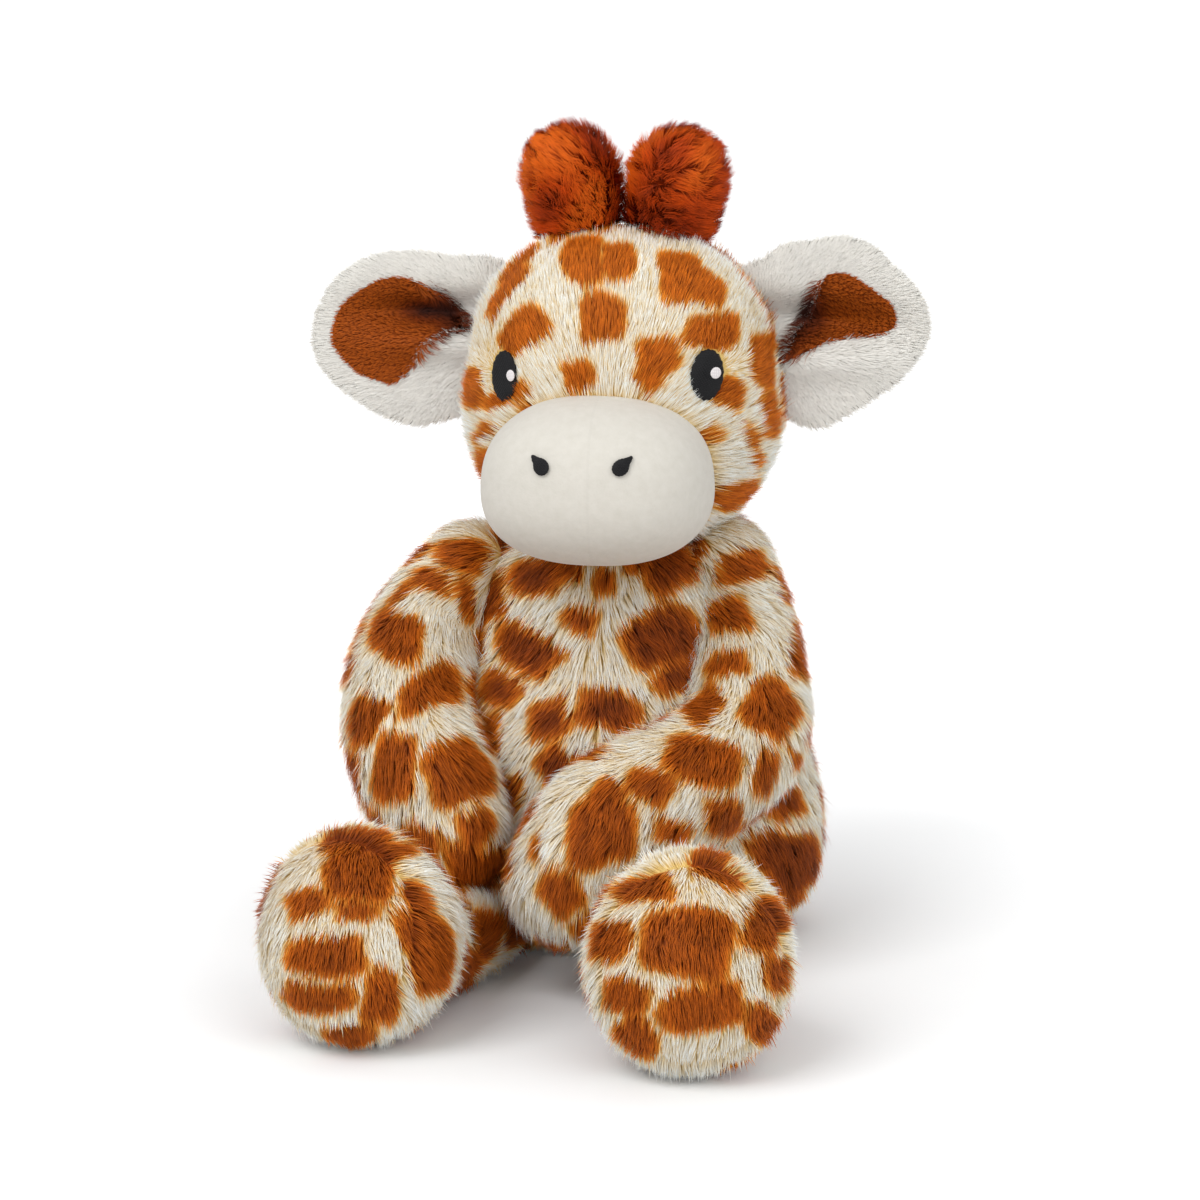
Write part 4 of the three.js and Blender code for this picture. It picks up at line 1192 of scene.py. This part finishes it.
def head_pile(roots, length):
    """The head's pile: shorter on the face, round the eyes and at the muzzle, fuller on the cheeks, and more
    upright on the cheeks and along the rim."""
    local, nearness = head.local(roots), eye_nearness(roots)
    face = ease(-local[:, 1], -8, 12)
    full = length * (1.25 - .35 * face + .35 * face * ease(8 - local[:, 2], 0, 22))
    rim = at_rim(roots) * (.55 + .45 * ease(np.abs(local[:, 0]), 6, 20))
    cheek = cheek_of(roots) * ease(nearness, 1.6, 3)
    lengths = full * (.38 + .62 * ease(nearness, .85, 2.0)) * (1 + .2 * rim + .3 * cheek)
    lean = 64 - 28 * rim - 12 * cheek, 84 - 34 * rim - 8 * cheek
    return dict(length=lengths, lean=lean, pull=.14 + .3 * cheek)


def limb_pile(name, roots, normals, length, lean, pull):
    """The pile of the body, an arm or a leg: flatter where it looks up, shorter and less tufted on a sole."""
    sole = np.zeros(len(roots), bool) if kind_of(name) != "leg" else Sole(forms[name]).covers(roots)
    top = ease(normals[:, 2], .4, .9)
    return dict(length=np.where(sole, SOLE_LENGTH, length), lean=[angle + 8 * top for angle in lean],
                pull=np.where(sole, SOLE_PULL, pull))


def parts_of(name, roots, normals):
    """The hairs of a cover by the piece that they go into: [piece, which hairs]."""
    if name.startswith("leg"):
        ahead = Sole(forms[name]).covers(roots)
        return [(name.replace("leg", "sole") + "_pile", ahead), (f"{name}_pile", ~ahead)]
    if name.startswith("arm"):
        return [(f"{name}_pile", np.ones(len(roots), bool))]
    ahead, aside = normals[:, 1] < .1, roots[:, 0] < 2
    return [(f"{name}_pile_{face}_{way}", (ahead == (face == "front")) & (aside == (way == "right")))
            for face in ("front", "rear") for way in ("right", "left")]


def add_cover(name, colour):
    """A cover's backing and its pile, split where it would be too large for one piece."""
    kind, rides = kind_of(name), body_of(name)
    inset, pile = INSETS[kind], dict(PILES[kind])
    skin = Skin(forms[name], kind, inset, FLOOR_CLEARANCE)
    backing = add_skin(f"{name}_backing", skin, backings["spotted plush"], rides, node_of(name, "cover"),
                       spot=colour(skin.points + skin.normals * inset))
    roots, normals = skin.sow(pile.pop("density") * THINNED, np.random.default_rng(SEED + len(name)))
    keep = clear_of(roots, HIDDEN_IN[kind], -HIDDEN_DEPTH) & (roots[:, 2] > HAIR_CLEARANCE)
    if name == "head":
        keep &= eye_nearness(roots) > 1
    roots, normals = roots[keep], normals[keep]
    combs = COMBS[name](roots, normals)
    if name == "head":
        pile.update(head_pile(roots, pile["length"]))
    else:
        pile.update(limb_pile(name, roots, normals, pile["length"], pile["lean"], pile["pull"]))
    if kind in ("body", "arm"):
        combs = brushed_back(combs, normals)
    for turn, (piece, mask) in enumerate(parts_of(name, roots, normals)):
        own = {**pile, "length": pile["length"][mask], "pull": pile["pull"][mask],
               "lean": [angle[mask] for angle in pile["lean"]]}
        add_pile(piece, roots[mask], normals[mask], combs[mask], piles["spotted plush"], rides, colour,
                 seed=len(name) * 7 + turn, **own)


cover_colours = {name: colour_by(spots_of(name), MARGINS[kind_of(name)], DEEPEST[kind_of(name)], len(name))
                 for name in COMBS}
for name, colour in cover_colours.items():
    add_cover(name, colour)

# Soles: a closed dish over the front of each foot
for name in SIDES:
    dish = Skin(Sole(forms[f"leg_{name}"]), "sole", 0.0, FLOOR_CLEARANCE)
    over = dish.points + dish.normals * INSETS["leg"]
    add_skin(f"sole_backing_{name}", dish, backings["spotted plush"], f"{name}_leg", f"sole_{name}",
             spot=cover_colours[f"leg_{name}"](over))

# Muzzle
MUZZLE_INSET = .7
muzzle_skin = Skin(muzzle, "muzzle", MUZZLE_INSET)
add_skin("muzzle_velour_cover", muzzle_skin, muzzle_velour, "head", "muzzle_cover")

# Eyes and nostrils
for name, side in SIDES.items():
    eye = Patch(head, EYES[name], EYE_HALVES, EYE_LAYERS, threads=EYE_THREADS)
    add_skin(f"stitched_eye_{name}", Skin(eye, "eye"), black_thread, "head", f"eye_{name}")
    glint = Patch(head, np.add(EYES[name], HIGHLIGHT_SHIFT), HIGHLIGHT_HALVES, HIGHLIGHT_LAYERS,
                  threads=HIGHLIGHT_THREADS)
    add_skin(f"stitched_highlight_{name}", Skin(glint, "highlight"), white_thread, "head",
             f"eye_highlight_{name}")
    turns, reaches = np.array(DROP).T
    turns = np.radians(turns if side > 0 else 180 - turns)
    drop = Outline(np.stack([reaches * np.cos(turns), reaches * np.sin(turns)], -1))
    nostril = Patch(muzzle, NOSTRILS[name], NOSTRIL_HALVES, NOSTRIL_LAYERS, drop, NOSTRIL_THREADS)
    add_skin(f"stitched_nostril_{name}", Skin(nostril, "nostril"), black_thread, "head", f"nostril_{name}")

# Ears
EAR_INSET, EAR_ROOT = .9, 40
EAR_HIDDEN_DEPTH, LINING_SHARE = 5, .97
LINING_LAYERS = (-EAR_INSET - .5, -EAR_INSET + .4, .8)
RIM_COMB, LINING_COMB, TO_HEAD = np.array((0, 60.0, 0)), np.array((0, 0, -8)), np.array((-27, 0, -12.0))
EAR_PILE = dict(lean=(60, 82), stray=.12, tuft=2.2, pull=.0, width=.24, bend=.96)
LINING_PILE = dict(lean=(30, 64), stray=.2, tuft=1.3, pull=.5, width=.28)
EAR_DENSITY, EAR_LENGTH, LINING_LENGTH, FRINGE_LENGTH = 6, 3.4, 2, 4


def lining_of(name, side):
    """An ear's lining: its line in the ears' plane, its skin, and a function from points to their painted
    shade, which is deepest in the fold and at the end by the head."""
    dark_place, dark_halves = LINING_SHADE_PLACES[name]
    middle, dark = in_ear_plane([LINING_MIDDLES[name], dark_place])
    line = Outline(in_ear_plane(LININGS[name]), middle)
    around_middle = Outline(in_ear_plane(LININGS[name]) - middle)
    lining = Patch(forms[f"ear_{name}"], middle, (1, 1), LINING_LAYERS, around_middle, jags=0)

    def shade(points):
        local = head.local(points)
        away = np.hypot((local[:, 0] - dark[0]) / dark_halves[0], (local[:, 2] - dark[1]) / dark_halves[1])
        to_head = ease(-side * (local[:, 0] - middle[0]), 11, 20)
        return np.clip(.08 + .9 * bell(away) + .6 * to_head, 0, 1)
    return line, Skin(lining, "lining"), shade


def add_ear(name, side):
    """An ear's white backing and pile, its brown lining and the lining's pile, longer by the head."""
    ear, rides = forms[f"ear_{name}"], f"{name}_ear"
    root = head.placed(np.array((side * EAR_ROOT, ear.depth, ear.outline.middle[1])))
    skin = Skin(ear, "ear", EAR_INSET)
    backing = add_skin(f"ear_backing_{name}", skin, backings["white plush"], rides, f"ear_{name}", spot=0.0)
    # the lining's colour carries painted shade, deepest in the fold and towards the head
    line, lining_skin, lining_shade = lining_of(name, side)
    add_skin(f"ear_lining_backing_{name}", lining_skin, backings["brown velour"], rides, f"ear_lining_{name}",
             spot=lining_shade(lining_skin.points))
    draw = np.random.default_rng(SEED + side)
    roots, normals = skin.sow(EAR_DENSITY * THINNED, draw)
    local = head.local(roots)
    facing = yawed(normals, -HEAD_YAW)[:, 1] < 0
    covered = facing & (line.share(local[:, 0], local[:, 2]) < LINING_SHARE)
    keep = ~covered & clear_of(roots, ("head",), -EAR_HIDDEN_DEPTH)
    roots, normals = roots[keep], normals[keep]
    comb = roots - root + (1 - np.abs(normals[:, 1:2])) ** 2 * RIM_COMB
    add_pile(f"ear_pile_{name}", roots, normals, comb, piles["white plush"], rides,
             lambda points: np.zeros(len(points)), EAR_LENGTH, seed=40 + side, **EAR_PILE)
    roots, normals = lining_skin.sow(EAR_DENSITY * THINNED, draw)
    keep = yawed(normals, -HEAD_YAW)[:, 1] < -.1
    roots, normals = roots[keep], normals[keep]
    local = head.local(roots)
    fringe = ease(line.share(local[:, 0], local[:, 2]), .72, 1)
    fringe = fringe * ease(-side * (local[:, 0] - line.middle[0]), 3, 12)
    to_head = yawed(TO_HEAD * (side, 1, 1), HEAD_YAW)
    comb = (roots - root + LINING_COMB) * (1 - fringe)[:, None] + to_head * fringe[:, None]
    add_pile(f"ear_lining_pile_{name}", roots, normals, comb, piles["brown velour"], rides, lining_shade,
             LINING_LENGTH + FRINGE_LENGTH * fringe, seed=50 + side, **LINING_PILE)


for name, side in SIDES.items():
    add_ear(name, side)

# Ossicones
OSSICONE_INSET, OSSICONE_DENSITY = 4.0, 6.2
OSSICONE_PILE = dict(lean=(26, 60), stray=1.0, tuft=2.8, pull=.44, width=.27, bend=.7)
OSSICONE_LENGTH, OSSICONE_WAYS, OSSICONE_SPLAY = 7.6, (.9, 0, .35), .4


def add_ossicone(name, side):
    """An ossicone's backing and its tousled pile, combed out to its side, darker in patches and low down."""
    form, rides = forms[f"ossicone_{name}"], f"{name}_ossicone"
    skin = Skin(form, "ossicone", OSSICONE_INSET)
    backing = add_skin(f"ossicone_backing_{name}", skin, backings["rust plush"], rides,
                       f"ossicone_cover_{name}", spot=.5)
    roots, normals = skin.sow(OSSICONE_DENSITY * THINNED, np.random.default_rng(SEED + side))
    keep = clear_of(roots, ("head",), .5)
    roots, normals = roots[keep], normals[keep]

    def rust_shade(points):
        below = ease(form.line[-1, 2] - points[:, 2], -2, 26)
        return np.clip(.35 + .6 * ripple(points, 20, 5) + .5 * below, 0, 1)

    comb = np.multiply(OSSICONE_WAYS, (side, 1, 1)) + OSSICONE_SPLAY * unit(roots - form.line[0])
    add_pile(f"ossicone_pile_{name}", roots, normals, comb, piles["rust plush"], rides, rust_shade,
             OSSICONE_LENGTH, seed=60 + side, **OSSICONE_PILE)


for name, side in SIDES.items():
    add_ossicone(name, side)

# Tail: its pile grows longer towards the tuft
TAIL_INSET, TAIL_DENSITY, TAIL_BROWN = 1.6, 4, .6
TAIL_PILE = dict(lean=(35, 66), stray=.3, pull=.4)
tail = forms["tail"]
tail_skin = Skin(tail, "tail", TAIL_INSET)
add_skin("tail_backing", tail_skin, backings["rust plush"], "tail", "tail", spot=.5)
roots, normals = tail_skin.sow(TAIL_DENSITY * THINNED, np.random.default_rng(SEED))
tuft = ease(tail.nearest(roots)[0], .4, .8)
add_pile("tail_pile", roots, normals, tail.way(roots), piles["rust plush"], "tail",
         lambda points: np.full(len(points), TAIL_BROWN), 4 + 5 * tuft, seed=70, **TAIL_PILE)

# Fillings
FIBRE_INSET, FIBRE_FLOOR = 7.5, 3
FIBRE_ROUGHNESS, BAG_ROUGHNESS = (.8, 14, 9), (.6, 7, 3)  # height, wavelength and seed
FILLED = ["body", "head", "muzzle"]
FILLED += [f"{kind}_{side}" for kind in ("arm", "leg", "ossicone") for side in SIDES]


def add_filling(name):
    """A form's fibre filling: the form drawn in, a limb by a smaller radius about the same line."""
    form, inset = forms[name], FIBRE_INSET
    if isinstance(form, Limb):
        slimmer = 1 - FIBRE_INSET / form.halves(np.full(1, .5)).mean()
        foot = None if form.foot is None else np.array(form.foot) - FIBRE_INSET
        form, inset = Limb(form.line[::8], form.radius * slimmer, form.shares, foot), 0
    skin = Skin(form, "filling", inset, FIBRE_FLOOR).roughened(*FIBRE_ROUGHNESS)
    add_skin(f"{name}_fibre", skin, fibre, body_of(name), node_of(name, "filling"))


for name in FILLED:
    add_filling(name)
BAG_MIDDLE, BAG_HALVES, BAG_POWER = (0, 0, 22), (40, 30, 13), .8
bag = Skin(Ball(BAG_MIDDLE, BAG_HALVES, BAG_POWER), "bag").roughened(*BAG_ROUGHNESS)
add_skin("seat_pellet_pouch", bag, pellets, "torso", "seat_pellet_bag")

# Floor, light and camera, in metres
FLOOR_HALF = 40.0
GLOW_MIDDLE = (.012, -.06, 0)  # where the floor looks least lit
GLOW_REACH, GLOW_RISE = (.01, .43), (.02, .5)
WORLD_LIGHT = .64
LIT_MIDDLE = (0, 0, .12)


def add_stage():
    """A pale floor that the camera sees as white where it is fully lit, by a glow that rises with the
    distance from its darkest place and that only the camera's rays meet."""
    mesh = bpy.data.meshes.new("floor")
    corners = [(x * FLOOR_HALF, y * FLOOR_HALF, 0) for x, y in ((-1, -1), (1, -1), (1, 1), (-1, 1))]
    mesh.from_pydata(corners, [], [(0, 1, 2, 3)])
    floor = bpy.data.objects.new("floor", mesh)
    bpy.context.scene.collection.objects.link(floor)
    finish = new_finish("pale floor", Roughness=.9, Specular_IOR_Level=0.0, Emission_Strength=1.0)
    seen = finish.camera_ray()
    finish.feed("Base Color", finish.mixed(seen, (.8, .8, .8, 1), (.98, .992, 1, 1)))
    away = finish.node("ShaderNodeVectorMath", {"operation": "DISTANCE"}, {
        0: finish.object_place(), 1: GLOW_MIDDLE}, output="Value")
    far = finish.node("ShaderNodeMapRange", {"interpolation_type": "SMOOTHSTEP"}, {
        "Value": away, "From Min": GLOW_REACH[0], "From Max": GLOW_REACH[1], "To Min": GLOW_RISE[0],
        "To Max": GLOW_RISE[1]})
    finish.feed("Emission Color", seen * far)
    mesh.materials.append(finish.owner)


def add_light(name, place, size, power):
    """A square soft light that looks at the toy's middle."""
    lamp = bpy.data.lights.new(name, "AREA")
    lamp.size, lamp.energy = size, power
    made = bpy.data.objects.new(name, lamp)
    made.location = place
    aim = Vector(LIT_MIDDLE) - Vector(place)
    made.rotation_euler = aim.to_track_quat("-Z", "Y").to_euler()
    bpy.context.scene.collection.objects.link(made)


def add_world():
    """Even white light from all round, weaker for the toy than for the camera, which sees it as white."""
    world = bpy.data.worlds.new("studio")
    bpy.context.scene.world = world
    light = Finish(world, shader="Background", Color=(1, 1, 1, 1))
    strength = light.node("ShaderNodeMix", None, {"Factor": light.camera_ray(), 2: WORLD_LIGHT, 3: 1.0})
    light.feed("Strength", strength)


def add_camera():
    """The photograph's camera."""
    camera = bpy.data.objects.new("camera", bpy.data.cameras.new("camera"))
    camera.data.lens, camera.data.sensor_width = LENS, SENSOR
    camera.location = Vector(VIEW_FROM * METRES)
    camera.rotation_euler = Vector(view_ahead).to_track_quat("-Z", "Y").to_euler()
    camera.data.clip_start, camera.data.clip_end = .05, 50
    bpy.context.scene.collection.objects.link(camera)
    bpy.context.scene.camera = camera


add_world()
add_light("key", (-.6, -1.0, 1.25), .9, 11)
add_light("fill", (.9, -1.1, .9), 1.2, 6)
add_stage()
add_camera()
bpy.context.scene.view_settings.view_transform = "Standard"
